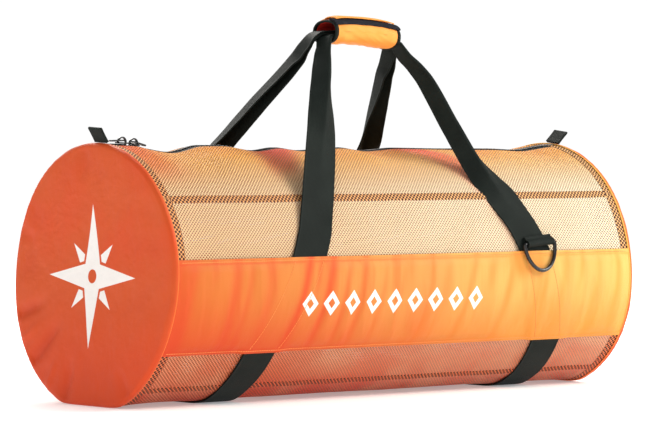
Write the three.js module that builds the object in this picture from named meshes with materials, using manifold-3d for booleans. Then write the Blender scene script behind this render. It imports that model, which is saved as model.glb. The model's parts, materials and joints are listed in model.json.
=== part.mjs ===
// Mesh dive gear bag: a zipped mesh cylinder with solid end caps, two side bands and webbing handles.
// Millimetres, +Z up. X runs along the bag, -Y is its front, and it stands on z = 0.
import * as THREE from 'three';
import Module from 'manifold-3d';
import { mergeVertices } from 'three/addons/utils/BufferGeometryUtils.js';

const wasm = await Module();
wasm.setup();

// Body
const bagLength = 760;
const bagDiameter = 330;
const restFlat = 9.4; // how far the round section is pressed flat where it rests
const clearance = 0.3; // left between every two layers that lie on each other
const meshThickness = 1.6;
const capThickness = 1.6;
const bandThickness = 1.2;
const endSplay = 10; // how much further out each end stands at the bottom than at the top
const facetAngle = 11; // widest step between two rows of the round section
const facetLength = 95; // widest step along the straight parts of the body

// Angles round the section: 0 at the front, 90 at the top, -90 underneath; the back mirrors the front
const upperSeam = 36.5;
const bandTop = 9;
const bandBottom = -33;
const lowerSeam = -55;

// End caps
const capDepth = 8; // from the cap's face to the edge of its hem

// Webbing
const webbingWidth = 48;
const webbingThickness = 1.8;
const bandRamp = 14; // over which the band comes back down beside a strap

// Handle wrap
const wrapLength = 108;
const wrapWidth = 46;
const wrapHeight = 29;
const wrapThickness = 2.2;
const wrapForward = 45; // how far its middle stands in front of the bag's middle
const wrapShift = 4; // how far its middle stands to the right
const wrapRise = 460; // height of its middle
const wrapTilt = 3; // degrees, left end up
const wrapArch = 3; // how much its middle stands above its ends
const rimLength = 5;
const rimThickness = 1;
const closureThickness = 2.2;
const flapThickness = 1.4;
const strapSeat = -2.4; // height of the pair of folded straps inside the wrap
const strapApart = 6; // how far each strap's middle lies from the middle of the wrap
const mouthReach = 3.8; // how far the lower strap stands out of the wrap before it turns down
const mouthBend = 6; // length of that turn, to each side of its corner

// Zipper
const tapeWidth = 26; // across both tapes
const tapeThickness = 0.9;
const coilWidth = 6;
const coilHeight = 2.6;
const sliderLength = 14;
const sliderWidth = 9;
const sliderPlate = 1.6;
const sliderApart = 18; // between the two pull hinges
const sliderPlace = 48; // from the left end of the bag to the middle between the sliders
const bailWidth = 2.6;
const bailReach = 7; // outer radius of the bail's arch
const bailThickness = 1.8;
const pullLength = 20;
const pullWidth = 8;
const pullThickness = 1.7;

// End tabs
const tabWidth = 25;
const tabHeight = 21;
const tabThickness = 3.4;
const leftTabLean = 33; // degrees outward
const rightTabLean = 45;

// D-ring
const ringAngle = 12.4; // where its bar lies on the section
const ringPlace = 209; // along the bag
const ringTurn = 5; // degrees, right end up
const ringWidth = 58;
const ringDrop = 36; // from the middle of the bar to the middle of the lower wire
const ringWire = 5;
const loopThickness = 1.6;
const loopTail = 9.5; // sewn part above the bar

// Along the top: place and sag of the top line as shares of the bag's length and diameter, and its twist to the
// front in degrees
const topLine = [
  { at: -0.5, sag: 0, twist: 3 },
  { at: -0.468, sag: 0, twist: 3 },
  { at: -0.434, sag: 0.003, twist: 2.5 },
  { at: -0.4, sag: 0.018, twist: 2 },
  { at: -0.351, sag: 0.031, twist: 1 },
  { at: -0.286, sag: 0.006, twist: 0 },
  { at: -0.249, sag: 0.006, twist: 0 },
  { at: -0.175, sag: 0.026, twist: 0 },
  { at: -0.128, sag: 0.015, twist: 0 },
  { at: -0.078, sag: 0.026, twist: 0 },
  { at: 0.009, sag: 0.015, twist: 0 },
  { at: 0.062, sag: 0.027, twist: 0 },
  { at: 0.132, sag: 0.017, twist: 0 },
  { at: 0.245, sag: 0.02, twist: 1 },
  { at: 0.345, sag: 0.02, twist: 2.5 },
  { at: 0.404, sag: 0.024, twist: 4 },
  { at: 0.468, sag: 0.004, twist: 6 },
  { at: 0.5, sag: 0, twist: 6.5 },
];

// Middle of each strap on the front and the back of the section, as shares of half the bag's length
const strapRoute = [
  { angle: -90, left: -0.61, right: 0.66, backLeft: -0.61, backRight: 0.66 },
  { angle: -55, left: -0.61, right: 0.66, backLeft: -0.61, backRight: 0.65 },
  { angle: -33, left: -0.6, right: 0.643, backLeft: -0.6, backRight: 0.62 },
  { angle: 9, left: -0.45, right: 0.54, backLeft: -0.5, backRight: 0.48 },
  { angle: 45, left: -0.32, right: 0.42, backLeft: -0.41, backRight: 0.36 },
];

// End cap from its middle to its hem: reach as a share of the cap's radius, depth as a share of the cap's depth
const capProfile = [
  { reach: 0.3, depth: 0.2 },
  { reach: 0.58, depth: 0.13 },
  { reach: 0.8, depth: 0.04 },
  { reach: 0.93, depth: 0.02 },
  { reach: 0.975, depth: 0.17 },
  { reach: 1, depth: 0.5 },
];

// Creases of an end cap: direction round the section, start and end and width as shares of its radius, depth as a
// share of the cap's depth
const capFolds = [
  { angle: -138, from: 0.42, to: 0.98, width: 0.1, depth: 0.3 },
  { angle: -162, from: 0.55, to: 1, width: 0.09, depth: 0.26 },
  { angle: -108, from: 0.6, to: 0.98, width: 0.1, depth: 0.2 },
  { angle: 100, from: 0.7, to: 1, width: 0.12, depth: 0.15 },
];

// How far each leg of the handle webbing is folded in half on its way from the bag (at 0) to the wrap (at 1), in
// degrees a side
const legFold = [
  { at: 0, left: 0, right: 0, backLeft: 0, backRight: 0 },
  { at: 0.14, left: 0, right: 1, backLeft: 2, backRight: 1 },
  { at: 0.25, left: 2, right: 16, backLeft: 22, backRight: 14 },
  { at: 0.35, left: 5, right: 34, backLeft: 56, backRight: 34 },
  { at: 0.55, left: 22, right: 54, backLeft: 66, backRight: 52 },
  { at: 0.72, left: 42, right: 64, backLeft: 72, backRight: 66 },
  { at: 0.88, left: 64, right: 78, backLeft: 78, backRight: 78 },
  { at: 0.96, left: 84, right: 86, backLeft: 87, backRight: 87 },
  { at: 1, left: 90, right: 90, backLeft: 90, backRight: 90 },
];

// How far each leg bows outward from its straight line, as shares of the webbing's width
const legBow = [
  { at: 0, left: 0, right: 0, backLeft: 0, backRight: 0 },
  { at: 0.3, left: 0, right: 0.02, backLeft: 0, backRight: 0 },
  { at: 0.55, left: -0.06, right: 0.12, backLeft: 0, backRight: -0.04 },
  { at: 0.78, left: -0.08, right: 0.25, backLeft: -0.06, backRight: -0.04 },
  { at: 0.86, left: -0.05, right: 0.17, backLeft: -0.05, backRight: 0 },
  { at: 0.93, left: 0, right: 0.03, backLeft: 0, backRight: 0 },
  { at: 1, left: 0, right: 0, backLeft: 0, backRight: 0 },
];

// Half of the webbing from its middle to its edge: each part's share of the half width and of the fold
const halfWebbing = [
  { width: 0.06, turn: 0.3 },
  { width: 0.44, turn: 1 },
  { width: 0.5, turn: 1 },
];

const colours = {
  cap: 0xd8502a,
  mesh: 0xf2a878,
  band: 0xf08a3c,
  webbing: 0x1b201e,
  zipper: 0x202224,
  metal: 0x17181a,
  wrap: 0xf59a45,
};

const radians = THREE.MathUtils.degToRad;
const layer = clearance + Math.max(webbingThickness, capThickness);
const skinRadius = bagDiameter / 2 - layer;
const centreHeight = bagDiameter / 2 - restFlat;
const bodyEnd = bagLength / 2 - 0.7 * capDepth;
const hemEnd = bagLength / 2 - capDepth - clearance;
const zipEdge = 90 - THREE.MathUtils.radToDeg(Math.asin(tapeWidth / 2 / skinRadius));

// Table value at a place, drawn straight between the two rows beside it
function read(table, key, column, place) {
  const last = table.length - 1;
  if (place <= table[0][key]) return table[0][column];
  if (place >= table[last][key]) return table[last][column];
  const next = table.findIndex((row) => row[key] > place);
  const [low, high] = [table[next - 1], table[next]];
  const share = (place - low[key]) / (high[key] - low[key]);
  return THREE.MathUtils.lerp(low[column], high[column], share);
}

// The larger of two heights, rounded where they meet
function softMax(a, b, reach) {
  const near = Math.max(reach - Math.abs(a - b), 0) / reach;
  return Math.max(a, b) + (near * near * reach) / 4;
}

// Angle on the front half that mirrors an angle anywhere round the section
function foldedAngle(angle) {
  const round = THREE.MathUtils.euclideanModulo(angle + 90, 360) - 90;
  return round > 90 ? 180 - round : round;
}

// Point at a place along the bag and an angle round it, lifted off the outer face of the mesh
function skin(x, angle, lift = 0) {
  const at = x / bagLength;
  const onTop = THREE.MathUtils.smoothstep(foldedAngle(angle), upperSeam, 90);
  const turned = radians(angle - onTop * read(topLine, 'at', 'twist', at));
  const radius = skinRadius + lift - onTop * read(topLine, 'at', 'sag', at) * bagDiameter;
  const height = softMax(centreHeight + radius * Math.sin(turned), layer - lift, restFlat * 0.6);
  const lowness = 1 - THREE.MathUtils.smoothstep(height / bagDiameter, 0.06, 0.66);
  return new THREE.Vector3(x + endSplay * lowness * (2 * at) ** 3, -radius * Math.cos(turned), height);
}

function strapMiddle(side, angle) {
  const front = foldedAngle(angle);
  const round = THREE.MathUtils.euclideanModulo(angle + 90, 360);
  const column = round > 180 ? `back${side === 'left' ? 'Left' : 'Right'}` : side;
  return (read(strapRoute, 'angle', column, front) * bagLength) / 2;
}

// Half of a slanted strap's width, measured along the bag
function strapHalf(side, angle) {
  const slope = (strapMiddle(side, angle + 1) - strapMiddle(side, angle - 1)) / (skinRadius * radians(2));
  return (webbingWidth / 2) * Math.hypot(1, slope);
}

// Steps from one value to another that pass through every value between them in the list
function steps(from, to, through, widest) {
  const stops = [from, ...through.filter((stop) => stop > from + 1e-6 && stop < to - 1e-6), to];
  const list = [from];
  for (let i = 1; i < stops.length; i += 1) {
    const count = Math.max(1, Math.ceil((stops[i] - stops[i - 1]) / widest - 1e-9));
    for (let k = 1; k <= count; k += 1) list.push(stops[i - 1] + ((stops[i] - stops[i - 1]) * k) / count);
  }
  return list;
}

const frontStops = [-90, lowerSeam, bandBottom, bandTop, upperSeam, zipEdge];
const ringStops = [...frontStops, 90, ...frontStops.map((stop) => 180 - stop)].sort((a, b) => a - b);
const rows = (from, to) => {
  const once = steps(-90, 270, ringStops, facetAngle).slice(0, -1);
  const whole = [...once.map((angle) => angle - 360), ...once, ...once.map((angle) => angle + 360)];
  return [from, ...whole.filter((angle) => angle > from + 0.01 && angle < to - 0.01), to];
};
const topStations = (from, to) => {
  const stops = topLine.map((row) => row.at * bagLength);
  return steps(from, to, stops, facetLength / 2);
};

// Closed solid from two grids of points that face each other. Its rows may close round into a ring, and tips, a
// middle point for each grid, then fill the ring at the start of the rows.
function shell(outer, inner, { wraps = false, tips = [] } = {}) {
  const [count, width] = [outer.length, outer[0].length];
  const points = [...outer.flat(), ...inner.flat(), ...tips];
  const side = count * width;
  const index = [];
  const quad = (a, b, c, d) => index.push(a, b, c, a, c, d);
  const at = (i, j, face) => face * side + (i % count) * width + j;
  const lastRow = wraps ? count : count - 1;
  for (let i = 0; i < lastRow; i += 1) {
    for (let j = 0; j < width - 1; j += 1) {
      quad(at(i, j, 0), at(i + 1, j, 0), at(i + 1, j + 1, 0), at(i, j + 1, 0));
      quad(at(i, j, 1), at(i, j + 1, 1), at(i + 1, j + 1, 1), at(i + 1, j, 1));
    }
    if (tips.length) {
      index.push(2 * side, at(i + 1, 0, 0), at(i, 0, 0), 2 * side + 1, at(i, 0, 1), at(i + 1, 0, 1));
    } else {
      quad(at(i, 0, 0), at(i, 0, 1), at(i + 1, 0, 1), at(i + 1, 0, 0));
    }
    quad(at(i, width - 1, 0), at(i + 1, width - 1, 0), at(i + 1, width - 1, 1), at(i, width - 1, 1));
  }
  for (let j = 0; j < width - 1 && !wraps; j += 1) {
    quad(at(0, j, 0), at(0, j + 1, 0), at(0, j + 1, 1), at(0, j, 1));
    quad(at(count - 1, j, 0), at(count - 1, j, 1), at(count - 1, j + 1, 1), at(count - 1, j + 1, 0));
  }
  const geometry = new THREE.BufferGeometry().setFromPoints(points);
  geometry.setIndex(index);
  return facingOut(geometry);
}

// The same geometry with its faces turned outward, by the sign of its volume
function facingOut(geometry) {
  const place = geometry.getAttribute('position');
  const index = geometry.getIndex().array;
  const corner = (k) => new THREE.Vector3().fromBufferAttribute(place, index[k]);
  let volume = 0;
  for (let k = 0; k < index.length; k += 3) volume += corner(k).dot(corner(k + 1).cross(corner(k + 2)));
  if (volume < 0) {
    for (let k = 0; k < index.length; k += 3) [index[k], index[k + 1]] = [index[k + 1], index[k]];
  }
  geometry.computeVertexNormals();
  return geometry;
}

function toSolid(geometry) {
  const plain = geometry.clone();
  plain.deleteAttribute('normal');
  plain.deleteAttribute('uv');
  const merged = mergeVertices(plain, 1e-4);
  const vertProperties = new Float32Array(merged.getAttribute('position').array);
  return new wasm.Manifold(new wasm.Mesh({ numProp: 3, vertProperties, triVerts: new Uint32Array(merged.index.array) }));
}

function fromSolid(solid) {
  const { vertProperties, triVerts } = solid.getMesh();
  const geometry = new THREE.BufferGeometry();
  geometry.setAttribute('position', new THREE.BufferAttribute(vertProperties, 3));
  geometry.setIndex(new THREE.BufferAttribute(triVerts, 1));
  geometry.computeVertexNormals();
  return geometry;
}

const bag = new THREE.Group();
bag.name = 'mesh_dive_gear_bag';

function addPiece(name, geometry, colour, { roughness = 0.85, metalness = 0, parent = bag } = {}) {
  const material = new THREE.MeshStandardMaterial({ color: colours[colour], roughness, metalness });
  const mesh = new THREE.Mesh(geometry, material);
  mesh.name = name;
  parent.add(mesh);
  return mesh;
}

// Cloth that lies on the skin: one row of points for each angle, one point for each place along the bag
function layerOnSkin(angles, placesAt, low, high) {
  const grid = (lift) => angles.map((angle) => placesAt(angle).map((x) => skin(x, angle, lift(x, angle))));
  return shell(grid(high), grid(low));
}

// Mesh panels of the body, from seam to seam
const seamGap = THREE.MathUtils.radToDeg(clearance / 2 / skinRadius);
function meshPanel(name, from, to, places) {
  const angles = rows(from + seamGap, to - seamGap);
  const panel = layerOnSkin(angles, () => places, () => -meshThickness, () => 0);
  addPiece(name, panel, 'mesh');
}
const straightPlaces = steps(-bodyEnd, bodyEnd, [], facetLength);
const wavyPlaces = topStations(-bodyEnd, bodyEnd);
meshPanel('mesh_top_front', upperSeam, zipEdge, wavyPlaces);
meshPanel('mesh_side_front', lowerSeam, upperSeam, straightPlaces);
meshPanel('mesh_bottom', -180 - lowerSeam, lowerSeam, straightPlaces);
meshPanel('mesh_side_back', 180 - upperSeam, 180 - lowerSeam, straightPlaces);
meshPanel('mesh_top_back', 180 - zipEdge, 180 - upperSeam, wavyPlaces);

// Depth of the creases at one point of an end cap
function creaseDepth(angle, reach) {
  return capFolds.reduce((sum, fold) => {
    const off = radians(angle - fold.angle);
    const along = reach * Math.cos(off);
    const across = (reach * Math.sin(off)) / fold.width;
    const inside = THREE.MathUtils.smoothstep(along, fold.from, (fold.from + fold.to) / 2);
    return sum + fold.depth * capDepth * inside * Math.exp(-across * across);
  }, 0);
}

// End cap: a slightly dished face with creases, a rolled edge and a hem that laps over the mesh
function endCap(name, side) {
  const angles = rows(-90, 270).slice(0, -1);
  const rimLift = clearance + capThickness;
  const profile = (inset) => {
    const face = capProfile.map(({ reach, depth }, i) => {
      const rim = i === capProfile.length - 1 ? 1 : THREE.MathUtils.smoothstep(reach, 0.9, 1);
      return { reach, depth: depth * capDepth + inset * (1 - rim), lift: rimLift - inset * rim };
    });
    return [...face, { reach: 1, depth: capDepth, lift: rimLift - inset }];
  };
  const point = (angle, { reach, depth, lift }) => {
    const edge = skin(side * (bagLength / 2 - depth), angle, lift);
    const crease = reach < 1 ? creaseDepth(side < 0 ? angle : 180 - angle, reach) : 0;
    return new THREE.Vector3(
      edge.x - side * crease * (1 - THREE.MathUtils.smoothstep(reach, 0.94, 1)),
      edge.y * reach,
      centreHeight + (edge.z - centreHeight) * reach,
    );
  };
  const grid = (inset) => angles.map((angle) => profile(inset).map((row) => point(angle, row)));
  const tip = (inset) => {
    const { depth } = profile(inset)[0];
    return new THREE.Vector3(side * (bagLength / 2 - depth), 0, centreHeight);
  };
  const tips = [tip(0), tip(capThickness)];
  addPiece(name, shell(grid(0), grid(capThickness), { wraps: true, tips }), 'cap');
}
endCap('end_cap_left', -1);
endCap('end_cap_right', 1);

// Half of the flat corridor that a band leaves for the strap under it, and how much of the strap it feels
const corridor = (side, angle) => strapHalf(side, angle) + 2 * clearance + webbingThickness / 2;
function overStrap(x, angle) {
  return ['left', 'right'].reduce((most, side) => {
    const off = Math.abs(x - strapMiddle(side, angle)) - corridor(side, angle);
    return Math.max(most, 1 - THREE.MathUtils.clamp(off / bandRamp, 0, 1));
  }, 0);
}

// Side bands: solid cloth sewn over the mesh and over the straps
const spread = (from, to, count) => Array.from({ length: count }, (_, k) => from + ((to - from) * (k + 1)) / count);
function sideBand(name, from, to) {
  const places = (angle) => {
    const list = [-hemEnd];
    for (const side of ['left', 'right']) {
      const [middle, half] = [strapMiddle(side, angle), corridor(side, angle)];
      const before = side === 'left' ? 1 : 4;
      list.push(...spread(list[list.length - 1], middle - half - bandRamp, before));
      list.push(middle - half, ...spread(middle - half, middle + half, 2), middle + half + bandRamp);
    }
    return [...list, hemEnd];
  };
  const low = (x, angle) => clearance + (webbingThickness + clearance) * overStrap(x, angle);
  const high = (x, angle) => low(x, angle) + bandThickness;
  addPiece(name, layerOnSkin(rows(from, to), places, low, high), 'band');
}
sideBand('side_band_front', bandBottom, bandTop);
sideBand('side_band_back', 180 - bandTop, 180 - bandBottom);

// Handle wrap, in a frame of its own whose X runs along the wrap
const wrapFrame = new THREE.Group();
wrapFrame.position.set(wrapShift, -wrapForward, wrapRise);
wrapFrame.rotation.y = radians(wrapTilt);
bag.add(wrapFrame);
wrapFrame.updateMatrixWorld(true);

const arch = (x) => -wrapArch * (2 * x / wrapLength) ** 2;
function wrapPoint(x, angle, lift) {
  const [c, s] = [Math.cos(radians(angle)), Math.sin(radians(angle))];
  const round = (v) => Math.sign(v) * Math.abs(v) ** 0.84;
  const [halfWidth, halfHeight] = [wrapWidth / 2 + lift, wrapHeight / 2 + lift];
  return new THREE.Vector3(x, -halfWidth * round(c), halfHeight * round(s) + arch(x));
}
function wrapLayer(name, [from, to], [start, end], low, high, colour) {
  const wraps = to - from >= 360;
  const count = Math.round((to - from) / 15);
  const angles = Array.from({ length: wraps ? count : count + 1 }, (_, k) => from + 15 * k);
  const places = steps(start, end, [], wrapLength / 5);
  const grid = (lift) => angles.map((angle) => places.map((x) => wrapPoint(x, angle, lift(angle))));
  addPiece(name, shell(grid(high), grid(low), { wraps }), colour, { parent: wrapFrame });
}
const wrapEnd = wrapLength / 2;
const clothEnd = wrapEnd - rimLength - clearance;
wrapLayer('handle_wrap', [0, 360], [-clothEnd, clothEnd], () => -wrapThickness, () => 0, 'wrap');
for (const [name, side] of [['wrap_rim_left', -1], ['wrap_rim_right', 1]]) {
  const reach = [side * (clothEnd + clearance), side * wrapEnd].sort((a, b) => a - b);
  wrapLayer(name, [0, 360], reach, () => -wrapThickness, () => rimThickness, 'webbing');
}

// Hook-and-loop closure along the upper front of the wrap, and the flap that laps over it
const closureRange = [30, 75];
const flapRange = [60, 150];
const onRim = rimThickness + clearance;
wrapLayer('wrap_closure', closureRange, [-wrapEnd, wrapEnd], () => onRim, () => onRim + closureThickness, 'webbing');
const flapLow = (angle) => {
  const past = THREE.MathUtils.clamp((angle - closureRange[1] - 15) / 15, 0, 1);
  return onRim + (closureThickness + clearance) * (1 - past);
};
wrapLayer('wrap_flap', flapRange, [-clothEnd, clothEnd], flapLow, (angle) => flapLow(angle) + flapThickness, 'wrap');

// Cross-section of webbing that is folded by an angle on each side of its middle: points on its outer and inner face,
// as distances across the strap and into the fold
function foldedSection(fold) {
  const half = [{ across: 0, into: 0, turn: 0 }];
  for (const { width, turn } of halfWebbing) {
    const last = half[half.length - 1];
    const [angle, length] = [radians(fold * turn), (width * webbingWidth) / 2];
    half.push({ across: last.across + length * Math.cos(angle), into: last.into + length * Math.sin(angle), turn: angle });
  }
  const face = (lift) => half.map(({ across, into, turn }, i) => {
    const next = i < half.length - 1 ? half[i + 1].turn : turn;
    const [middle, mitre] = [(turn + next) / 2, lift / Math.cos((next - turn) / 2)];
    return i === 0
      ? { across: 0, into: -lift / Math.cos(next) }
      : { across: across + mitre * Math.sin(middle), into: into - mitre * Math.cos(middle) };
  });
  const both = (points) => [...points.slice(1).reverse().map((p) => ({ across: -p.across, into: p.into })), ...points];
  return [both(face(webbingThickness / 2)), both(face(-webbingThickness / 2))];
}

// Handle straps: from the bag's side up into the wrap, through it and down to the bag again
const foldedThickness = webbingWidth * halfWebbing[0].width * Math.cos(radians(90 * halfWebbing[0].turn))
  + webbingThickness;
const pitch = foldedThickness + clearance;
const straps = [
  { name: 'handle_strap_front', face: 1, seat: strapSeat - pitch / 2, out: mouthReach, legs: ['left', 'right'] },
  { name: 'handle_strap_back', face: -1, seat: strapSeat + pitch / 2, out: mouthReach + pitch, legs: ['backLeft', 'backRight'] },
];

// Where a handle strap turns out of the wrap, and where its straight run leaves the skin
const foldLine = (strap) => -strap.face * (webbingWidth / 4 + strapApart);
function strapCorner(strap, end) {
  const local = new THREE.Vector3(end * (wrapEnd + strap.out), foldLine(strap), strap.seat + arch(end * wrapEnd));
  return local.applyMatrix4(wrapFrame.matrixWorld);
}
function leaveAngle(strap, end) {
  const corner = strapCorner(strap, end);
  const [ahead, above] = [-strap.face * corner.y, corner.z - centreHeight];
  const radius = skinRadius + clearance + webbingThickness / 2;
  const off = Math.atan2(above, ahead) - Math.acos(radius / Math.hypot(ahead, above));
  return THREE.MathUtils.radToDeg(off);
}
function leavePoint(strap, end) {
  const angle = leaveAngle(strap, end);
  const round = strap.face > 0 ? angle : 180 - angle;
  return skin(strapMiddle(end < 0 ? 'left' : 'right', round), round, clearance + webbingThickness / 2);
}

// Samples along one leg: place, direction into the fold, fold and how far the section is still cut along the bag
function legSamples(strap, end) {
  const [foot, corner] = [leavePoint(strap, end), strapCorner(strap, end)];
  const along = new THREE.Vector3(-end, 0, 0).transformDirection(wrapFrame.matrixWorld);
  const climb = corner.clone().sub(foot);
  const length = climb.length();
  climb.normalize();
  const turn = mouthBend + strap.out - mouthReach;
  const leg = strap.legs[end < 0 ? 0 : 1];
  const outward = new THREE.Vector3(end, 0, 0).addScaledVector(climb, -end * climb.x).normalize();
  const angle = radians(leaveAngle(strap, end));
  const into = new THREE.Vector3(0, strap.face * Math.cos(angle), -Math.sin(angle));
  const inWrap = new THREE.Vector3(0, strap.face, 0);
  const shares = [clearance / length, 0.06, 0.12, 0.25, 0.35, 0.46, 0.57, 0.67, 0.76, 0.84, 0.9];
  const straight = shares.map((share) => ({ share, point: foot.clone().addScaledVector(climb, share * length) }));
  const bend = new THREE.QuadraticBezierCurve3(
    corner.clone().addScaledVector(climb, -turn),
    corner,
    corner.clone().addScaledVector(along, turn),
  );
  const last = 1 - turn / length;
  const round = [0, 0.25, 0.5, 0.75, 1].map((t) => ({ share: last + (1 - last) * t, point: bend.getPoint(t) }));
  return [...straight.filter(({ share }) => share < last - 0.02), ...round].map(({ share, point }) => ({
    point: point.addScaledVector(outward, read(legBow, 'at', leg, share) * webbingWidth),
    into: into.clone().lerp(inWrap, share),
    fold: read(legFold, 'at', leg, share / last),
    level: 1 - THREE.MathUtils.smoothstep(share, 0, 0.12),
  }));
}

function handleStrap(strap) {
  const inside = steps(-wrapEnd, wrapEnd, [], wrapLength / 4).slice(1, -1).map((x) => ({
    point: new THREE.Vector3(x, foldLine(strap), strap.seat + arch(x)).applyMatrix4(wrapFrame.matrixWorld),
    into: new THREE.Vector3(0, strap.face, 0),
    fold: 90,
    level: 0,
  }));
  const samples = [...legSamples(strap, -1), ...inside, ...legSamples(strap, 1).reverse()];
  const grids = [[], []];
  samples.forEach(({ point, into, fold, level }, i) => {
    const before = samples[Math.max(i - 1, 0)].point;
    const after = samples[Math.min(i + 1, samples.length - 1)].point;
    const forward = after.clone().sub(before).normalize();
    const depth = into.clone().addScaledVector(forward, -into.dot(forward)).normalize();
    const across = new THREE.Vector3().crossVectors(forward, depth).normalize();
    const alongBag = new THREE.Vector3(Math.sign(across.x) / Math.max(Math.abs(across.x), 0.5), 0, 0);
    const spreadWay = across.lerp(alongBag, level);
    foldedSection(fold).forEach((face, k) => grids[k].push(face.map((p) => (
      point.clone().addScaledVector(spreadWay, p.across).addScaledVector(depth, p.into)
    ))));
  });
  addPiece(strap.name, shell(grids[0], grids[1]), 'webbing');
}
straps.forEach(handleStrap);

// Straps round the underside of the bag, from where one handle strap leaves it to where the other does
function underStrap(name, side, end) {
  const [front, back] = straps.map((strap) => leaveAngle(strap, end));
  const places = (angle) => {
    const [middle, half] = [strapMiddle(side, angle), strapHalf(side, angle)];
    return [middle - half, middle + half];
  };
  const low = () => clearance;
  const high = () => clearance + webbingThickness;
  addPiece(name, layerOnSkin(rows(180 - back, 360 + front), places, low, high), 'webbing');
}
underStrap('strap_under_left', 'left', -1);
underStrap('strap_under_right', 'right', 1);

// Zipper along the top: two tapes, and a closed coil on each side of the sliders
const topAngle = (y) => 90 - THREE.MathUtils.radToDeg(y / skinRadius);
const tapeTop = -clearance;
function zipperStrip(name, fromY, toY, [start, end], low, high) {
  const angles = fromY.map((y) => topAngle(y)).concat(toY.map((y) => topAngle(y)));
  const places = topStations(start, end);
  const at = (list) => (x, angle) => list[angles.indexOf(angle)];
  addPiece(name, layerOnSkin(angles, () => places, at(low), at(high)), 'zipper');
}
const tapeIn = coilWidth / 2 + clearance;
const tapeOut = tapeWidth / 2 - clearance;
const tape = [tapeTop - tapeThickness, tapeTop - tapeThickness];
zipperStrip('zipper_tape_front', [tapeIn], [tapeOut], [-hemEnd, hemEnd], tape, [tapeTop, tapeTop]);
zipperStrip('zipper_tape_back', [-tapeIn], [-tapeOut], [-hemEnd, hemEnd], tape, [tapeTop, tapeTop]);

const coilTop = coilHeight / 2;
const half = coilWidth / 2;
const coil = {
  left: [-half, -half / 2],
  right: [half / 2, half],
  low: [-coilTop / 2, -coilTop, -coilTop, -coilTop / 2],
  high: [coilTop / 2, coilTop, coilTop, coilTop / 2],
};
const slidersAt = sliderPlace - bagLength / 2;
const postLength = 2;
const postAt = (sliderLength - sliderApart) / 2 - postLength - 3 * clearance;
zipperStrip('zipper_coil_left', coil.left, coil.right, [-hemEnd, slidersAt + postAt], coil.low, coil.high);
zipperStrip('zipper_coil_right', coil.left, coil.right, [slidersAt - postAt, hemEnd], coil.low, coil.high);

// Frame on the top line of the bag: X along it, Z away from it
function topFrame(x, lift) {
  const along = skin(x + 1, 90).sub(skin(x - 1, 90)).normalize();
  const out = skin(x, 90, 1).sub(skin(x, 90));
  const up = out.addScaledVector(along, -out.dot(along)).normalize();
  const frame = new THREE.Group();
  frame.setRotationFromMatrix(new THREE.Matrix4().makeBasis(along, up.clone().cross(along), up));
  frame.position.copy(skin(x, 90)).addScaledVector(up, lift);
  bag.add(frame);
  return frame;
}

// Sliders nose to nose, each with an arched bail that holds a pull
const plateLow = coilTop + clearance;
const plateHigh = plateLow + sliderPlate;
const hingeHeight = plateHigh + 2.2;
const pullRest = 3.5; // degrees below level
function boxAt(size, place) {
  return toSolid(new THREE.BoxGeometry(...size).translate(...place));
}
function sliderBody() {
  const post = [postLength - clearance, coilWidth * 0.4, 2 * plateLow + sliderPlate];
  const archShape = new THREE.Shape().absarc(0, 0, bailReach, 0, Math.PI, false);
  archShape.absarc(0, 0, bailReach - bailThickness, Math.PI, 0, true);
  const bail = new THREE.ExtrudeGeometry(archShape, { depth: bailWidth, bevelEnabled: false, curveSegments: 8 });
  bail.translate(0, 0, -bailWidth / 2).rotateX(Math.PI / 2).translate(0, 0, plateHigh - 0.05);
  const upper = boxAt([sliderLength, sliderWidth, sliderPlate], [0, 0, (plateLow + plateHigh) / 2]);
  const lower = boxAt([sliderLength, sliderWidth, sliderPlate], [0, 0, -(plateLow + plateHigh) / 2]);
  const nose = boxAt(post, [(postLength + clearance - sliderLength) / 2, 0, 0]);
  return fromSolid(upper.add(lower).add(nose).add(toSolid(bail)));
}
function pullPlate() {
  const barHalf = pullThickness / 2;
  const eyeHalf = bailWidth / 2 + 2.5 * clearance;
  const eyeEnd = bailReach + pullThickness + clearance;
  const [w, l] = [pullWidth / 2, pullLength - barHalf];
  const plate = new THREE.Shape([[-barHalf, -w], [l - w / 2, -w], [l, -w / 2], [l, w / 2], [l - w / 2, w], [-barHalf, w]]
    .map(([x, y]) => new THREE.Vector2(x, y)));
  const hole = (from, to, wide) => new THREE.Path([[from, -wide], [from, wide], [to, wide], [to, -wide]]
    .map(([x, y]) => new THREE.Vector2(x, y)));
  plate.holes.push(hole(barHalf, eyeEnd, eyeHalf), hole(eyeEnd + w / 2, l - w / 2, w / 2));
  const geometry = new THREE.ExtrudeGeometry(plate, { depth: pullThickness, bevelEnabled: false });
  return geometry.translate(0, 0, -pullThickness / 2);
}
const metal = { roughness: 0.35, metalness: 0.8 };
for (const [name, side] of [['left', -1], ['right', 1]]) {
  const frame = topFrame(slidersAt + (side * sliderApart) / 2, 0);
  const turned = new THREE.Group();
  turned.rotation.z = side < 0 ? Math.PI : 0;
  frame.add(turned);
  addPiece(`zipper_slider_${name}`, sliderBody(), 'metal', { ...metal, parent: turned });
  const pull = addPiece(`zipper_pull_${name}`, pullPlate(), 'metal', { ...metal, parent: turned });
  pull.position.z = hingeHeight;
  pull.rotation.y = radians(pullRest);
}

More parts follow.
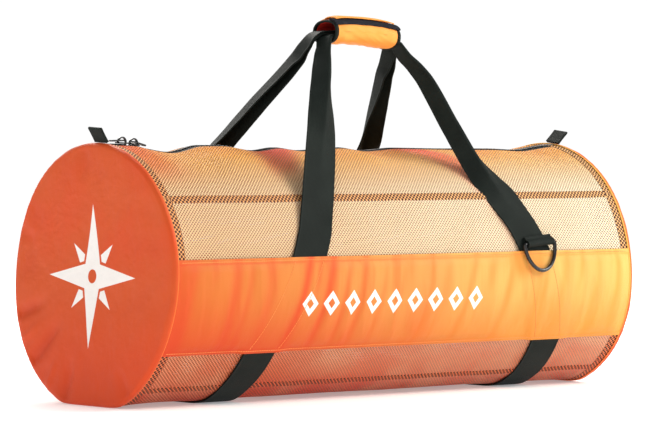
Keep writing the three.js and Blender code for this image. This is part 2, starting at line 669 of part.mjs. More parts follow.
// End tabs: webbing folded double, standing at both ends of the zipper and leaning outward
function endTab(name, side, lean) {
  const onHem = Math.max(coilTop, clearance + capThickness) + clearance;
  const frame = topFrame(side * hemEnd, onHem + (tabThickness / 2) * Math.sin(radians(lean)));
  const [t, top] = [tabThickness / 2, tabHeight - tabThickness / 2];
  const profile = new THREE.Shape().moveTo(-t, 0).lineTo(t, 0).lineTo(t, top);
  profile.absarc(0, top, t, 0, Math.PI, false);
  const geometry = new THREE.ExtrudeGeometry(profile, { depth: tabWidth, bevelEnabled: false, curveSegments: 5 });
  geometry.translate(0, 0, -tabWidth / 2).rotateX(Math.PI / 2);
  const tab = addPiece(name, geometry, 'webbing', { parent: frame });
  tab.rotation.y = side * radians(lean);
}
endTab('end_tab_left', -1, leftTabLean);
endTab('end_tab_right', 1, rightTabLean);

// D-ring in a webbing loop that is sewn across the right strap; in this frame -Y points away from the bag
const seatLift = clearance + webbingThickness;
const ringSeat = new THREE.Group();
ringSeat.position.copy(skin(ringPlace, ringAngle, seatLift));
ringSeat.rotation.set(radians(-ringAngle), radians(-ringTurn), 0);
bag.add(ringSeat);
const boreRadius = ringWire / 2 + 2 * clearance;
const loopRadius = boreRadius + loopThickness;
const barOut = clearance + loopRadius;
const loopWidth = ringWidth - 2 * ringWire - 2;

const loopShape = new THREE.Shape().moveTo(clearance, loopTail).lineTo(clearance + 2 * loopThickness, loopTail);
loopShape.lineTo(clearance + 2.4 * loopThickness, loopRadius * 1.2);
loopShape.absarc(barOut, 0, loopRadius, radians(80), -Math.PI, true);
loopShape.holes.push(new THREE.Path().absarc(barOut, 0, boreRadius, 0, 2 * Math.PI, false));
const loop = new THREE.ExtrudeGeometry(loopShape, { depth: loopWidth, bevelEnabled: false, curveSegments: 14 });
loop.translate(0, 0, -loopWidth / 2);
loop.applyMatrix4(new THREE.Matrix4().makeBasis(
  new THREE.Vector3(0, -1, 0),
  new THREE.Vector3(0, 0, 1),
  new THREE.Vector3(-1, 0, 0),
));
addPiece('d_ring_loop', loop, 'webbing', { parent: ringSeat });

const wireRadius = ringWire / 2;
const wireBevel = wireRadius * (1 - Math.tan(Math.PI / 8));
function ringOutline(wide, deep, top) {
  const arc = Array.from({ length: 17 }, (_, k) => -Math.PI + (Math.PI * k) / 16);
  const lower = arc.map((a) => new THREE.Vector2(wide * Math.cos(a), deep * Math.sin(a) + Math.min(top, 0)));
  const corner = top > 0 ? [new THREE.Vector2(wide - top, top), new THREE.Vector2(top - wide, top)] : [];
  return [...lower, ...corner];
}
const ringShape = new THREE.Shape(ringOutline(
  ringWidth / 2 - wireBevel,
  ringDrop + wireRadius - wireBevel,
  wireRadius - wireBevel,
));
ringShape.holes.push(new THREE.Path(ringOutline(
  ringWidth / 2 - ringWire + wireBevel,
  ringDrop - 2 * (wireRadius - wireBevel),
  wireBevel - wireRadius,
)));
const ringGeometry = new THREE.ExtrudeGeometry(ringShape, {
  depth: ringWire - 2 * wireBevel,
  bevelThickness: wireBevel,
  bevelSize: wireBevel,
  bevelSegments: 1,
});
ringGeometry.translate(0, 0, wireBevel - wireRadius).rotateX(Math.PI / 2);
const ringFrom = skinRadius + seatLift + barOut;
const bandLift = 2 * clearance + webbingThickness + bandThickness;
const ringTo = skinRadius + bandLift + clearance + wireRadius + ringDrop ** 2 / (4 * skinRadius);
const inward = Math.acos((ringFrom ** 2 + ringDrop ** 2 - ringTo ** 2) / (2 * ringFrom * ringDrop));
const ring = addPiece('d_ring', ringGeometry, 'metal', { ...metal, parent: ringSeat });
ring.position.y = -barOut;
ring.rotation.x = Math.PI / 2 - inward;

// The origin lies under the middle of the whole bag
const reach = new THREE.Box3().setFromObject(bag, true);
bag.position.set(-(reach.min.x + reach.max.x) / 2, -(reach.min.y + reach.max.y) / 2, 0);

export default bag;
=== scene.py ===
"""Mesh dive gear bag, dressed round its fixed frame.

Metres, +Z up. X runs along the bag to its right end, and -Y is its front, where the D-ring hangs.
"""

from __future__ import annotations

import json
import logging
import math
from dataclasses import dataclass, field
from enum import Enum
from typing import Callable, NamedTuple, Sequence

import bpy
from mathutils import Matrix, Vector, noise

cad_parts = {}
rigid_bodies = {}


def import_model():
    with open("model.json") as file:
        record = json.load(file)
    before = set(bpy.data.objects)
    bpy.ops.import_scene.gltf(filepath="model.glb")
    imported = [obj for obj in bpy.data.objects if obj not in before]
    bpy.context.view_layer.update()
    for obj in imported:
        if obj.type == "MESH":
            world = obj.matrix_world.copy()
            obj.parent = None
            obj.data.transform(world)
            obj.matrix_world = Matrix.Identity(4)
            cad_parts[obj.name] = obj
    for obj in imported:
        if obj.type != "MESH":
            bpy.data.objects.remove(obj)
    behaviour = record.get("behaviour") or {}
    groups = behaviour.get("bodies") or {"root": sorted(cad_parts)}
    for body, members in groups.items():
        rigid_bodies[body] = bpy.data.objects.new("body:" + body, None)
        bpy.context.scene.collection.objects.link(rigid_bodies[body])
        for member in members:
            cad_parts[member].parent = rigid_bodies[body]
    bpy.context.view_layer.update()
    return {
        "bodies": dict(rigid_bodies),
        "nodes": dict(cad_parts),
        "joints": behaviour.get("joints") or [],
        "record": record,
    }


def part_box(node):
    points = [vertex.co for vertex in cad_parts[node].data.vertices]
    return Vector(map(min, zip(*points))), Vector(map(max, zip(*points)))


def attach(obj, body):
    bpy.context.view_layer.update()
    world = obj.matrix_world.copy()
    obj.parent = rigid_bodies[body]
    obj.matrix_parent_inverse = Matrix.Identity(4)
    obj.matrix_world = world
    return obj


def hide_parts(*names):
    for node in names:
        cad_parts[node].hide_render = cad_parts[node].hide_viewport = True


LOG = logging.getLogger("gear_bag")
BODY = "bag"
TINT = "tint"


class Slot(Enum):
    """Material slots of the record."""

    MESH = "mesh"
    CAP = "cap"
    BAND = "band"
    WRAP = "wrap"
    WEBBING = "webbing"
    ZIPPER = "zipper"
    METAL = "metal"


class Side(Enum):
    """Sides of the bag whose names stand in the pieces' names."""

    @property
    def word(self) -> str:
        """The side's name as a piece's name has it."""
        return self.name.lower()


class End(Side):
    """The two ends of the bag, by the sign of X."""

    LEFT = -1
    RIGHT = 1


class Face(Side):
    """The two long sides of the bag: the front looks along -Y."""

    FRONT = 1
    BACK = -1

    def turned(self, front: float) -> float:
        """Angle round the section on this side, for an angle of the front half."""
        return front if self is Face.FRONT else 180 - front


# ---------------------------------------------------------------- numbers read along a table


def smoothstep(value: float, low: float, high: float) -> float:
    """Eased share of the way from low to high, for a value between them."""
    share = min(max((value - low) / (high - low), 0.0), 1.0)
    return share * share * (3 - 2 * share)


def read(rows: Sequence[tuple[float, ...]], column: int, place: float) -> float:
    """Reads one column of a table at a place between its rows, on a smooth curve.

    Args:
        rows: rows in rising order of their first value, which is their place.
        column: the column to read.
        place: where to read it.

    Returns:
        The value there, held at both ends.
    """
    if place <= rows[0][0]:
        return rows[0][column]
    if place >= rows[-1][0]:
        return rows[-1][column]
    after = next(i for i, row in enumerate(rows) if row[0] > place)
    low, high = rows[after - 1], rows[after]
    gap = high[0] - low[0]

    def slope(i: int) -> float:
        """Slope of the curve at one row: level at a crest, a hollow or an end."""
        if i in (0, len(rows) - 1):
            return 0.0
        before, here, behind = rows[i - 1], rows[i], rows[i + 1]
        left = (here[column] - before[column]) / (here[0] - before[0])
        right = (behind[column] - here[column]) / (behind[0] - here[0])
        return 0.0 if left * right <= 0 else 2 * left * right / (left + right)

    t = (place - low[0]) / gap
    return (
        low[column] * (1 + 2 * t) * (1 - t) ** 2
        + high[column] * t * t * (3 - 2 * t)
        + gap * slope(after - 1) * t * (1 - t) ** 2
        - gap * slope(after) * t * t * (1 - t)
    )


def ripple(point: Vector, seed: float = 0.0) -> float:
    """Smooth, repeatable unevenness between about -1 and 1 at a point."""
    return noise.noise(point + Vector((seed, 3.7 * seed, 1.3)))


def marks(points: Sequence[Vector]) -> list[float]:
    """Distance of each point of a run from its start, along the run."""
    found = [0.0]
    for a, b in zip(points, points[1:]):
        found.append(found[-1] + (b - a).length)
    return found


def spots(along: Sequence[float], places: Sequence[float]) -> list[tuple[int, float]]:
    """Finds places on a run.

    Args:
        along: the marks of its points.
        places: distances from its start, in rising order.

    Returns:
        For each place, the number of the point before it and the share of the way to the next one.
    """
    found, k = [], 0
    for at in places:
        while k < len(along) - 2 and along[k + 1] < at:
            k += 1
        found.append((k, (at - along[k]) / max(along[k + 1] - along[k], 1e-9)))
    return found


# ---------------------------------------------------------------- the bag's own form


class TopRow(NamedTuple):
    """Top line of the bag: place and sag as shares of its length and diameter, twist in degrees."""

    at: float
    sag: float
    twist: float


class LegRow(NamedTuple):
    """Something of the four strap legs at one angle round the bag, or at a share of their way up."""

    at: float
    left: float
    right: float
    back_left: float
    back_right: float

    @staticmethod
    def column(end: End, face: Face) -> int:
        """The column of one leg."""
        return (1 if end is End.LEFT else 2) + (2 if face is Face.BACK else 0)


@dataclass(frozen=True)
class BagForm:
    """Sizes of the cloth cylinder and the surface that every layer is laid on."""

    middle_y: float
    length: float = 0.760
    diameter: float = 0.330
    rest_flat: float = 0.0094
    clearance: float = 0.0003
    webbing: float = 0.0018
    webbing_width: float = 0.048
    cap_wall: float = 0.0016
    end_splay: float = 0.010
    cap_depth: float = 0.008
    tape_width: float = 0.026
    upper_seam: float = 36.5
    band_top: float = 9.0
    band_bottom: float = -33.0
    lower_seam: float = -55.0
    top_line: tuple[TopRow, ...] = (
        TopRow(-0.5, 0, 3), TopRow(-0.468, 0, 3), TopRow(-0.434, 0.003, 2.5), TopRow(-0.4, 0.018, 2),
        TopRow(-0.351, 0.031, 1), TopRow(-0.286, 0.006, 0), TopRow(-0.249, 0.006, 0), TopRow(-0.175, 0.026, 0),
        TopRow(-0.128, 0.015, 0), TopRow(-0.078, 0.026, 0), TopRow(0.009, 0.015, 0), TopRow(0.062, 0.027, 0),
        TopRow(0.132, 0.017, 0), TopRow(0.245, 0.02, 1), TopRow(0.345, 0.02, 2.5), TopRow(0.404, 0.024, 4),
        TopRow(0.468, 0.004, 6), TopRow(0.5, 0, 6.5),
    )
    strap_route: tuple[LegRow, ...] = (
        LegRow(-90, -0.61, 0.66, -0.61, 0.66), LegRow(-55, -0.61, 0.66, -0.61, 0.65),
        LegRow(-33, -0.6, 0.643, -0.6, 0.62), LegRow(9, -0.45, 0.54, -0.5, 0.48),
        LegRow(45, -0.32, 0.42, -0.41, 0.36),
    )

    @property
    def layer(self) -> float:
        """Depth of what lies over the mesh at the thickest place."""
        return self.clearance + max(self.webbing, self.cap_wall)

    @property
    def radius(self) -> float:
        """Radius of the mesh's outer face."""
        return self.diameter / 2 - self.layer

    @property
    def centre_height(self) -> float:
        """Height of the section's centre."""
        return self.diameter / 2 - self.rest_flat

    @property
    def hem_end(self) -> float:
        """Place of the cap hem's edge, from the middle of the bag."""
        return self.length / 2 - self.cap_depth - self.clearance

    @property
    def zip_edge(self) -> float:
        """Angle at which the front top panel ends beside the zipper."""
        return 90 - math.degrees(math.asin(self.tape_width / 2 / self.radius))

    @staticmethod
    def folded(angle: float) -> float:
        """Angle on the front half that mirrors an angle anywhere round the section."""
        turned = (angle + 90) % 360 - 90
        return 180 - turned if turned > 90 else turned

    def skin(self, x: float, angle: float, lift: float = 0.0) -> Vector:
        """Point at a place along the bag and an angle round it.

        Args:
            x: place along the bag.
            angle: degrees round the section, 0 at the front and 90 at the top.
            lift: height over the mesh's outer face.

        Returns:
            The point, in the bag's frame.
        """
        at = x / self.length
        on_top = smoothstep(self.folded(angle), self.upper_seam, 90)
        turned = math.radians(angle - on_top * read(self.top_line, 2, at))
        radius = self.radius + lift - on_top * read(self.top_line, 1, at) * self.diameter
        height, floor = self.centre_height + radius * math.sin(turned), self.layer - lift
        reach = self.rest_flat * 0.6
        near = max(reach - abs(height - floor), 0) / reach
        height = max(height, floor) + near * near * reach / 4
        return Vector((x + self.splay(x, height), -radius * math.cos(turned) + self.middle_y, height))

    def splay(self, x: float, height: float) -> float:
        """How far the ends lean outward at a place along the bag and a height."""
        lowness = 1 - smoothstep(height / self.diameter, 0.06, 0.66)
        return self.end_splay * lowness * (2 * x / self.length) ** 3

    def strap_middle(self, end: End, angle: float) -> float:
        """Place along the bag of a strap's middle at an angle round the section."""
        column = LegRow.column(end, Face.BACK if (angle + 90) % 360 > 180 else Face.FRONT)
        front = self.folded(angle)
        rows = self.strap_route
        if front <= rows[0].at or front >= rows[-1].at:
            share = rows[0 if front <= rows[0].at else -1][column]
        else:
            after = next(i for i, row in enumerate(rows) if row.at > front)
            low, high = rows[after - 1], rows[after]
            t = (front - low.at) / (high.at - low.at)
            share = low[column] + (high[column] - low[column]) * t
        return share * self.length / 2

    def strap_half(self, end: End, angle: float) -> float:
        """Half of a slanted strap's width, measured along the bag."""
        step = 3.0
        rise = self.strap_middle(end, angle + step) - self.strap_middle(end, angle - step)
        return self.webbing_width / 2 * math.hypot(1, rise / (self.radius * math.radians(2 * step)))

    def over_strap(self, x: float, angle: float) -> float:
        """How much a layer is lifted by the strap under it, from 0 to 1."""
        most = 0.0
        ramp = 0.014
        for end in End:
            corridor = self.strap_half(end, angle) + 2 * self.clearance + self.webbing / 2
            off = abs(x - self.strap_middle(end, angle)) - corridor
            most = max(most, 1 - smoothstep(off, 0, ramp))
        return most


# ---------------------------------------------------------------- shader maths


def add_node(tree: bpy.types.NodeTree, kind: str, settings: dict | None = None,
             inputs: dict | None = None) -> bpy.types.Node:
    """Adds a node to a tree.

    Args:
        tree: the node tree.
        kind: the node's type.
        settings: its own settings, which are set first.
        inputs: values or wires of its sockets, by name or number.

    Returns:
        The node.
    """
    node = tree.nodes.new(kind)
    for key, value in (settings or {}).items():
        setattr(node, key, value)
    for key, value in (inputs or {}).items():
        if isinstance(value, Wire):
            tree.links.new(value.socket, node.inputs[key])
        elif isinstance(value, tuple) and len(value) == 3 and node.inputs[key].type == "RGBA":
            node.inputs[key].default_value = (*value, 1.0)
        else:
            node.inputs[key].default_value = value
    return node


class Wire:
    """A shader socket that can be added, multiplied and compared in an expression."""

    def __init__(self, tree: bpy.types.NodeTree, socket: bpy.types.NodeSocket) -> None:
        """Wraps one output socket of a node tree."""
        self.tree, self.socket = tree, socket

    def math(self, operation: str, *others: "Wire | float") -> "Wire":
        """Adds one Math node that takes this value first."""
        node = add_node(self.tree, "ShaderNodeMath", {"operation": operation}, dict(enumerate((self, *others))))
        return Wire(self.tree, node.outputs[0])

    def __add__(self, other: "Wire | float") -> "Wire":
        """Sum."""
        return self.math("ADD", other)

    __radd__ = __add__

    def __sub__(self, other: "Wire | float") -> "Wire":
        """Difference."""
        return self.math("SUBTRACT", other)

    def __rsub__(self, other: float) -> "Wire":
        """Difference from a number."""
        return (self * -1) + other

    def __mul__(self, other: "Wire | float") -> "Wire":
        """Product."""
        return self.math("MULTIPLY", other)

    __rmul__ = __mul__

    def __truediv__(self, other: "Wire | float") -> "Wire":
        """Quotient."""
        return self.math("DIVIDE", other)

    def fract(self) -> "Wire":
        """Part after the whole number."""
        return self.math("FRACT")

    def sin(self) -> "Wire":
        """Sine."""
        return self.math("SINE")

    def cos(self) -> "Wire":
        """Cosine."""
        return self.math("COSINE")

    def abs(self) -> "Wire":
        """Size without sign."""
        return self.math("ABSOLUTE")

    def over(self, edge: "Wire | float") -> "Wire":
        """1 where the value is over the edge, else 0."""
        return self.math("GREATER_THAN", edge)

    def least(self, other: "Wire | float") -> "Wire":
        """The smaller of two values."""
        return self.math("MINIMUM", other)

    def most(self, other: "Wire | float") -> "Wire":
        """The larger of two values."""
        return self.math("MAXIMUM", other)

    def ease(self, low: float, high: float) -> "Wire":
        """Eased share of the way from low to high."""
        node = add_node(self.tree, "ShaderNodeMapRange", {"interpolation_type": "SMOOTHSTEP"},
                        {"Value": self, "From Min": low, "From Max": high})
        return Wire(self.tree, node.outputs[0])


Colour = tuple[float, float, float]


def srgb(red: int, green: int, blue: int) -> Colour:
    """Linear colour of three display values from 0 to 255."""

    def linear(value: int) -> float:
        """One channel, made linear."""
        share = value / 255
        return share / 12.92 if share <= 0.04045 else ((share + 0.055) / 1.055) ** 2.4

    return linear(red), linear(green), linear(blue)


class Paint:
    """One material, written as expressions on its coordinates."""

    def __init__(self, name: str) -> None:
        """Makes an empty material."""
        self.material = bpy.data.materials.new(name)
        self.material.use_nodes = True
        self.tree = self.material.node_tree
        self.tree.nodes.clear()

    def node(self, kind: str, settings: dict | None = None, inputs: dict | None = None) -> bpy.types.Node:
        """Adds a node to the material, as add_node does."""
        return add_node(self.tree, kind, settings, inputs)

    def wire(self, node: bpy.types.Node, output: int | str = 0) -> Wire:
        """An output socket of a node."""
        return Wire(self.tree, node.outputs[output])

    def split(self, vector: Wire) -> tuple[Wire, Wire, Wire]:
        """The three parts of a vector."""
        node = self.node("ShaderNodeSeparateXYZ", inputs={0: vector})
        return self.wire(node, 0), self.wire(node, 1), self.wire(node, 2)

    def place(self) -> Wire:
        """Object coordinates, which are the bag's own."""
        return self.wire(self.node("ShaderNodeTexCoord"), "Object")

    def cloth(self) -> Wire:
        """The piece's own UV map, in metres of cloth."""
        return self.wire(self.node("ShaderNodeTexCoord"), "UV")

    def tint(self) -> Wire:
        """How much painted shade the piece takes in its folds and creases, and painted shadow, from 0 to 1."""
        return self.wire(self.node("ShaderNodeAttribute", {"attribute_name": TINT}), "Fac")

    def noise(self, at: Wire, scale: float, detail: float = 3.0, stretch: Colour = (1, 1, 1)) -> Wire:
        """Cloudy pattern between 0 and 1.

        Args:
            at: where it is read.
            scale: clouds for each metre.
            detail: how many finer layers it has.
            stretch: factor for each direction.

        Returns:
            The pattern.
        """
        mapped = self.node("ShaderNodeMapping", {}, {"Vector": at, "Scale": stretch})
        node = self.node("ShaderNodeTexNoise", {}, {
            "Vector": self.wire(mapped), "Scale": scale, "Detail": detail, "Roughness": 0.55,
        })
        return self.wire(node, 0)

    def mix(self, share: Wire | float, first: Wire | Colour, second: Wire | Colour) -> Wire:
        """Colour between two colours."""
        node = self.node("ShaderNodeMix", {"data_type": "RGBA"}, {0: share, 6: first, 7: second})
        return self.wire(node, 2)

    def relief(self, layers: Sequence[tuple[Wire, float]]) -> Wire:
        """Normal bent by one height pattern after another.

        Args:
            layers: each pattern with the height in metres that its 1 stands for.

        Returns:
            The bent normal.
        """
        normal: Wire | None = None
        for height, depth in layers:
            inputs: dict = {"Strength": 1.0, "Distance": depth, "Height": height}
            if normal is not None:
                inputs["Normal"] = normal
            normal = self.wire(self.node("ShaderNodeBump", {}, inputs))
        assert normal is not None
        return normal

    def surface(self, base: Wire | Colour, roughness: Wire | float, normal: Wire | None = None, **rest: object) -> None:
        """Ends the material in one Principled surface.

        Args:
            base: its colour.
            roughness: its roughness.
            normal: its bent normal.
            rest: other sockets, with blanks written as underscores.
        """
        inputs: dict = {"Base Color": base, "Roughness": roughness}
        if normal is not None:
            inputs["Normal"] = normal
        inputs.update({key.replace("_", " "): value for key, value in rest.items()})
        shader = self.node("ShaderNodeBsdfPrincipled", {}, inputs)
        self.node("ShaderNodeOutputMaterial", {}, {"Surface": self.wire(shader)})


# ---------------------------------------------------------------- finishes


@dataclass(frozen=True)
class Glow:
    """Colour of one dyed cloth with painted light and shade, from the left end to the right end and from low to high:
    lighter toward the right end, where the key light falls, with painted shade low down, under the bag and on the top.
    """

    # The left and right colours are the dye, lighter to the right as painted light. The low colours are painted shade
    # low down, the high colour is painted shade on the top, and the under colour is painted shade under the bag.
    left: Colour
    right: Colour
    low: Colour
    high: Colour | None = None
    low_right: Colour | None = None
    under: Colour | None = None
    ends: tuple[float, float] = (-0.42, 0.42)
    low_ends: tuple[float, float] = (-0.3, 0.4)
    high_from: tuple[float, float] = (0.255, 0.315)
    low_to: tuple[float, float] = (0.03, 0.16)
    under_to: tuple[float, float] = (0.008, 0.042)

    def colour(self, paint: Paint) -> Wire:
        """The dye's colour with its painted light and shade at a place on the bag."""
        x, _, z = paint.split(paint.place())
        # Painted light and shade: lighter toward the right end, deeper on the top, low down and under the bag.
        base = paint.mix(x.ease(*self.ends), self.left, self.right)
        if self.high is not None:
            base = paint.mix(z.ease(*self.high_from), base, self.high)
        base = paint.mix(1 - z.ease(*self.low_to), base, self.shade(paint))
        return base if self.under is None else paint.mix(1 - z.ease(*self.under_to), base, self.under)

    def shade(self, paint: Paint) -> Wire | Colour:
        """The painted shade colour at a place on the bag, lighter toward the right end as painted light."""
        if self.low_right is None:
            return self.low
        return paint.mix(paint.split(paint.place())[0].ease(*self.low_ends), self.low, self.low_right)


@dataclass(frozen=True)
class OpenMesh:
    """Knitted mesh with staggered oval holes."""

    name: str
    glow: Glow
    # The hole colour is painted shade round each hole.
    hole: Colour
    pitch: float = 0.0046
    half_long: float = 0.33
    half_high: float = 0.27
    open_to: float = 0.22
    shadow: Colour = srgb(250, 74, 42)
    backing: Colour | None = None

    def material(self) -> bpy.types.Material:
        """Makes the mesh. With a backing the holes are dark instead of open."""
        paint = Paint(self.name)
        u, v, _ = paint.split(paint.cloth())
        sway = paint.noise(paint.place(), 9, 2)
        a, b = u / self.pitch + sway * 0.9, v / self.pitch + sway * 0.5

        def hole(shift: float) -> Wire:
            """Squared distance from the middle of the nearest hole of one set."""
            du, dv = ((a + shift).fract() - 0.5) / self.half_long, ((b + shift).fract() - 0.5) / self.half_high
            return du * du + dv * dv

        away = hole(0).least(hole(0.5))
        base = self.glow.colour(paint)
        patch = paint.noise(paint.place(), 14, 3)
        base = paint.mix(patch.ease(0.35, 0.75) * 0.3, base, self.glow.left)
        knit = (a * math.tau * 2).sin() * (b * math.tau * 2).sin() * 0.5 + 0.5
        # Painted shade: the cloth deepens to the hole colour round each hole, a little lighter toward the right end as
        # painted light.
        x, _, _ = paint.split(paint.place())
        deep = paint.mix(x.ease(*self.glow.ends), self.hole, self.glow.right)
        deep = paint.mix(0.72, deep, self.hole)
        # Painted shadows of the straps and painted shade by the zipper and at the left end, from the tint attribute.
        base = paint.mix(paint.tint(), base, self.shadow)
        crest = away.ease(0.5, 0.95)
        shaded = paint.mix(crest, deep, base)
        relief = paint.relief([(away.ease(0.5, 2.0), 0.0008), (knit, 0.0001)])
        if self.backing is None:
            paint.surface(shaded, 0.62, relief, Alpha=away.ease(self.open_to - 0.06, self.open_to + 0.06),
                          Specular_IOR_Level=0.2)
        else:
            dots = away.ease(0.6, 0.8)
            paint.surface(paint.mix(dots, self.backing, shaded), 0.66, relief, Specular_IOR_Level=0.25)
        return paint.material


@dataclass(frozen=True)
class CoatedCloth:
    """Tight plain-weave cloth with a coated back."""

    name: str
    glow: Glow
    yarn: float = 0.0006
    crease_depth: float = 0.0012
    crease_stretch: Colour = (1, 1, 1)
    # The next field stretches the gathers that are painted darker as shade.
    streak: Colour | None = None
    # The next two fields set painted shade in folds and creases: its colour and how much of it.
    fold: Colour | None = None
    fold_share: float = 0.9
    blotch: float = 0.22
    roughness: float = 0.5
    print_on: Callable[[Paint], Wire] | None = None
    print_colour: Colour = (0.86, 0.85, 0.82)

    def material(self) -> bpy.types.Material:
        """Makes the cloth, with its print if it has one."""
        paint = Paint(self.name)
        u, v, _ = paint.split(paint.cloth())
        at = paint.place()
        warp, weft = (u * (math.pi / self.yarn)).sin(), (v * (math.pi / self.yarn)).sin()
        weave = (warp * weft) * 0.5 + 0.5
        soft = paint.noise(at, 11, 4, self.crease_stretch)
        fine = paint.noise(at, 46, 4, self.crease_stretch)
        base = self.glow.colour(paint)
        base = paint.mix(soft.ease(0.42, 0.72) * self.blotch, base, self.glow.low)
        layers = [(soft, self.crease_depth), (fine, self.crease_depth * 0.3), (weave, 0.00012)]
        # Painted shade in the folds and creases, and painted shadows, from the tint attribute.
        base = paint.mix(paint.tint() * self.fold_share, base, self.fold or self.glow.shade(paint))
        # Painted shade along the gathers, whose noise also bends the normal, and painted shade at the left end next to
        # the cap.
        if self.streak is not None:
            gathers = paint.noise(at, 26, 3, self.streak)
            base = paint.mix(gathers.ease(0.5, 0.68) * 0.5, base, self.glow.shade(paint))
            x, _, _ = paint.split(at)
            base = paint.mix((1 - x.ease(-0.374, -0.35)) * 0.6, base, self.glow.low)
            layers.append((gathers, self.crease_depth * 1.6))
        base = paint.mix(weave * 0.08, base, self.glow.low)
        rough = fine * 0.16 + (self.roughness - 0.06)
        if self.print_on is not None:
            ink = self.print_on(paint) * (0.9 + weave * 0.1)
            base = paint.mix(ink, base, self.print_colour)
            rough = rough + ink * 0.08
        paint.surface(base, rough, paint.relief(layers), Specular_IOR_Level=0.2)
        return paint.material


def compass_star(paint: Paint) -> Wire:
    """Printed compass star in the middle of an end cap: four long points over four short ones."""
    _, y, z = paint.split(paint.place())
    middle_y, middle_z = 0.0037, 0.158
    cy, cz = y - middle_y, z - middle_z
    away = (cy * cy + cz * cz).math("SQRT")
    angle = cz.math("ARCTAN2", cy)

    def star(outer: float, inner: float, turn: float) -> Wire:
        """A star of four points with straight edges between its outer and inner corners."""
        half = math.pi / 4
        folded = (angle + turn).math("PINGPONG", half)
        along, aside = away * folded.cos(), away * folded.sin()
        ix, iy = inner * math.cos(half), inner * math.sin(half)
        return (aside * (ix - outer) - (along - outer) * iy).over(0.0)

    long_points, margin = star(0.088, 0.021, 0.0), star(0.097, 0.0255, 0.0)
    short_points = star(0.056, 0.017, math.pi / 4) * (1 - margin)
    return long_points.most(short_points) * away.over(0.0085)


def diamond_row(paint: Paint) -> Wire:
    """Printed row of small diamonds in the middle of the front and back bands."""
    x, _, z = paint.split(paint.place())
    pitch, wide, high, count = 0.034, 0.0125, 0.0155, 9
    middle, height, hollow = -0.035, 0.124, 0.42
    along = ((x - middle) / pitch + 0.5).fract() - 0.5
    away = (along * pitch / wide).abs() + ((z - height) / high).abs()
    reach = 1 - (x - middle).abs().over(pitch * count / 2)
    return (1 - away.over(1.0)) * away.over(hollow) * reach


@dataclass(frozen=True)
class Webbing:
    """Flat woven webbing with fine ribs across it and a firm edge."""

    name: str
    width: float
    colour: Colour = (0.0075, 0.0105, 0.0092)
    worn: Colour = (0.019, 0.025, 0.022)
    rib: float = 0.0011

    def material(self) -> bpy.types.Material:
        """Makes the webbing. U runs along it and V across it, both in metres."""
        paint = Paint(self.name)
        u, v, _ = paint.split(paint.cloth())
        ribs = (u * (math.tau / self.rib)).sin() * 0.5 + 0.5
        yarns = (v * (math.tau / (self.rib * 1.7)) + ribs * 1.2).sin() * 0.5 + 0.5
        off = (v / self.width - 0.5).abs()
        edge = off.ease(0.44, 0.475) * (1 - off.ease(0.485, 0.5))
        cloud = paint.noise(paint.place(), 23, 4)
        base = paint.mix(cloud.ease(0.3, 0.8) * 0.5, self.colour, self.worn)
        base = paint.mix(ribs * yarns * 0.35 + edge * 0.2, base, self.worn)
        relief = paint.relief([(cloud, 0.0008), (ribs * 0.7 + yarns * 0.3, 0.00022), (edge, 0.0003)])
        paint.surface(base, cloud * 0.15 + 0.5, relief, Specular_IOR_Level=0.07)
        return paint.material


@dataclass(frozen=True)
class HookAndLoop:
    """Fuzzy closure strip."""

    name: str
    colour: Colour = (0.010, 0.011, 0.016)
    tips: Colour = (0.045, 0.045, 0.06)

    def material(self) -> bpy.types.Material:
        """Makes the strip."""
        paint = Paint(self.name)
        at = paint.place()
        fuzz, tuft = paint.noise(at, 900, 2), paint.noise(at, 160, 3)
        base = paint.mix(fuzz.ease(0.45, 0.75) * 0.6 + tuft.ease(0.55, 0.8) * 0.3, self.colour, self.tips)
        paint.surface(base, 0.85, paint.relief([(tuft, 0.0007), (fuzz, 0.0005)]), Specular_IOR_Level=0.12)
        return paint.material


@dataclass(frozen=True)
class GlossBlack:
    """Black lacquered metal with a little wear."""

    name: str
    colour: Colour = (0.006, 0.006, 0.007)
    worn: Colour = (0.02, 0.02, 0.021)
    roughness: float = 0.2

    def material(self) -> bpy.types.Material:
        """Makes the lacquer."""
        paint = Paint(self.name)
        at = paint.place()
        cloud, scratch = paint.noise(at, 60, 4), paint.noise(at, 700, 2, (1, 0.15, 1))
        base = paint.mix(cloud.ease(0.62, 0.85) * 0.5, self.colour, self.worn)
        rough = cloud * 0.14 + scratch.ease(0.6, 0.8) * 0.12 + self.roughness
        paint.surface(base, rough, paint.relief([(cloud, 0.00012), (scratch, 0.00003)]),
                      Coat_Weight=0.3, Specular_IOR_Level=0.35)
        return paint.material


@dataclass(frozen=True)
class CoilPlastic:
    """Dark nylon of a zipper coil, with its turns."""

    name: str
    colour: Colour = (0.012, 0.012, 0.013)
    sheen: Colour = (0.06, 0.06, 0.062)

    def material(self) -> bpy.types.Material:
        """Makes the nylon."""
        paint = Paint(self.name)
        cloud = paint.noise(paint.place(), 300, 2)
        base = paint.mix(cloud.ease(0.5, 0.8) * 0.4, self.colour, self.sheen)
        paint.surface(base, cloud * 0.1 + 0.3, paint.relief([(cloud, 0.00006)]))
        return paint.material


@dataclass(frozen=True)
class Thread:
    """Sewing thread with a twist."""

    name: str
    colour: Colour
    shade: Colour

    def material(self) -> bpy.types.Material:
        """Makes the thread."""
        paint = Paint(self.name)
        x, y, z = paint.split(paint.place())
        twist = ((x + y + z) * (math.tau / 0.0008)).sin() * 0.5 + 0.5
        paint.surface(paint.mix(twist * 0.5, self.colour, self.shade), 0.55, paint.relief([(twist, 0.0001)]))
        return paint.material


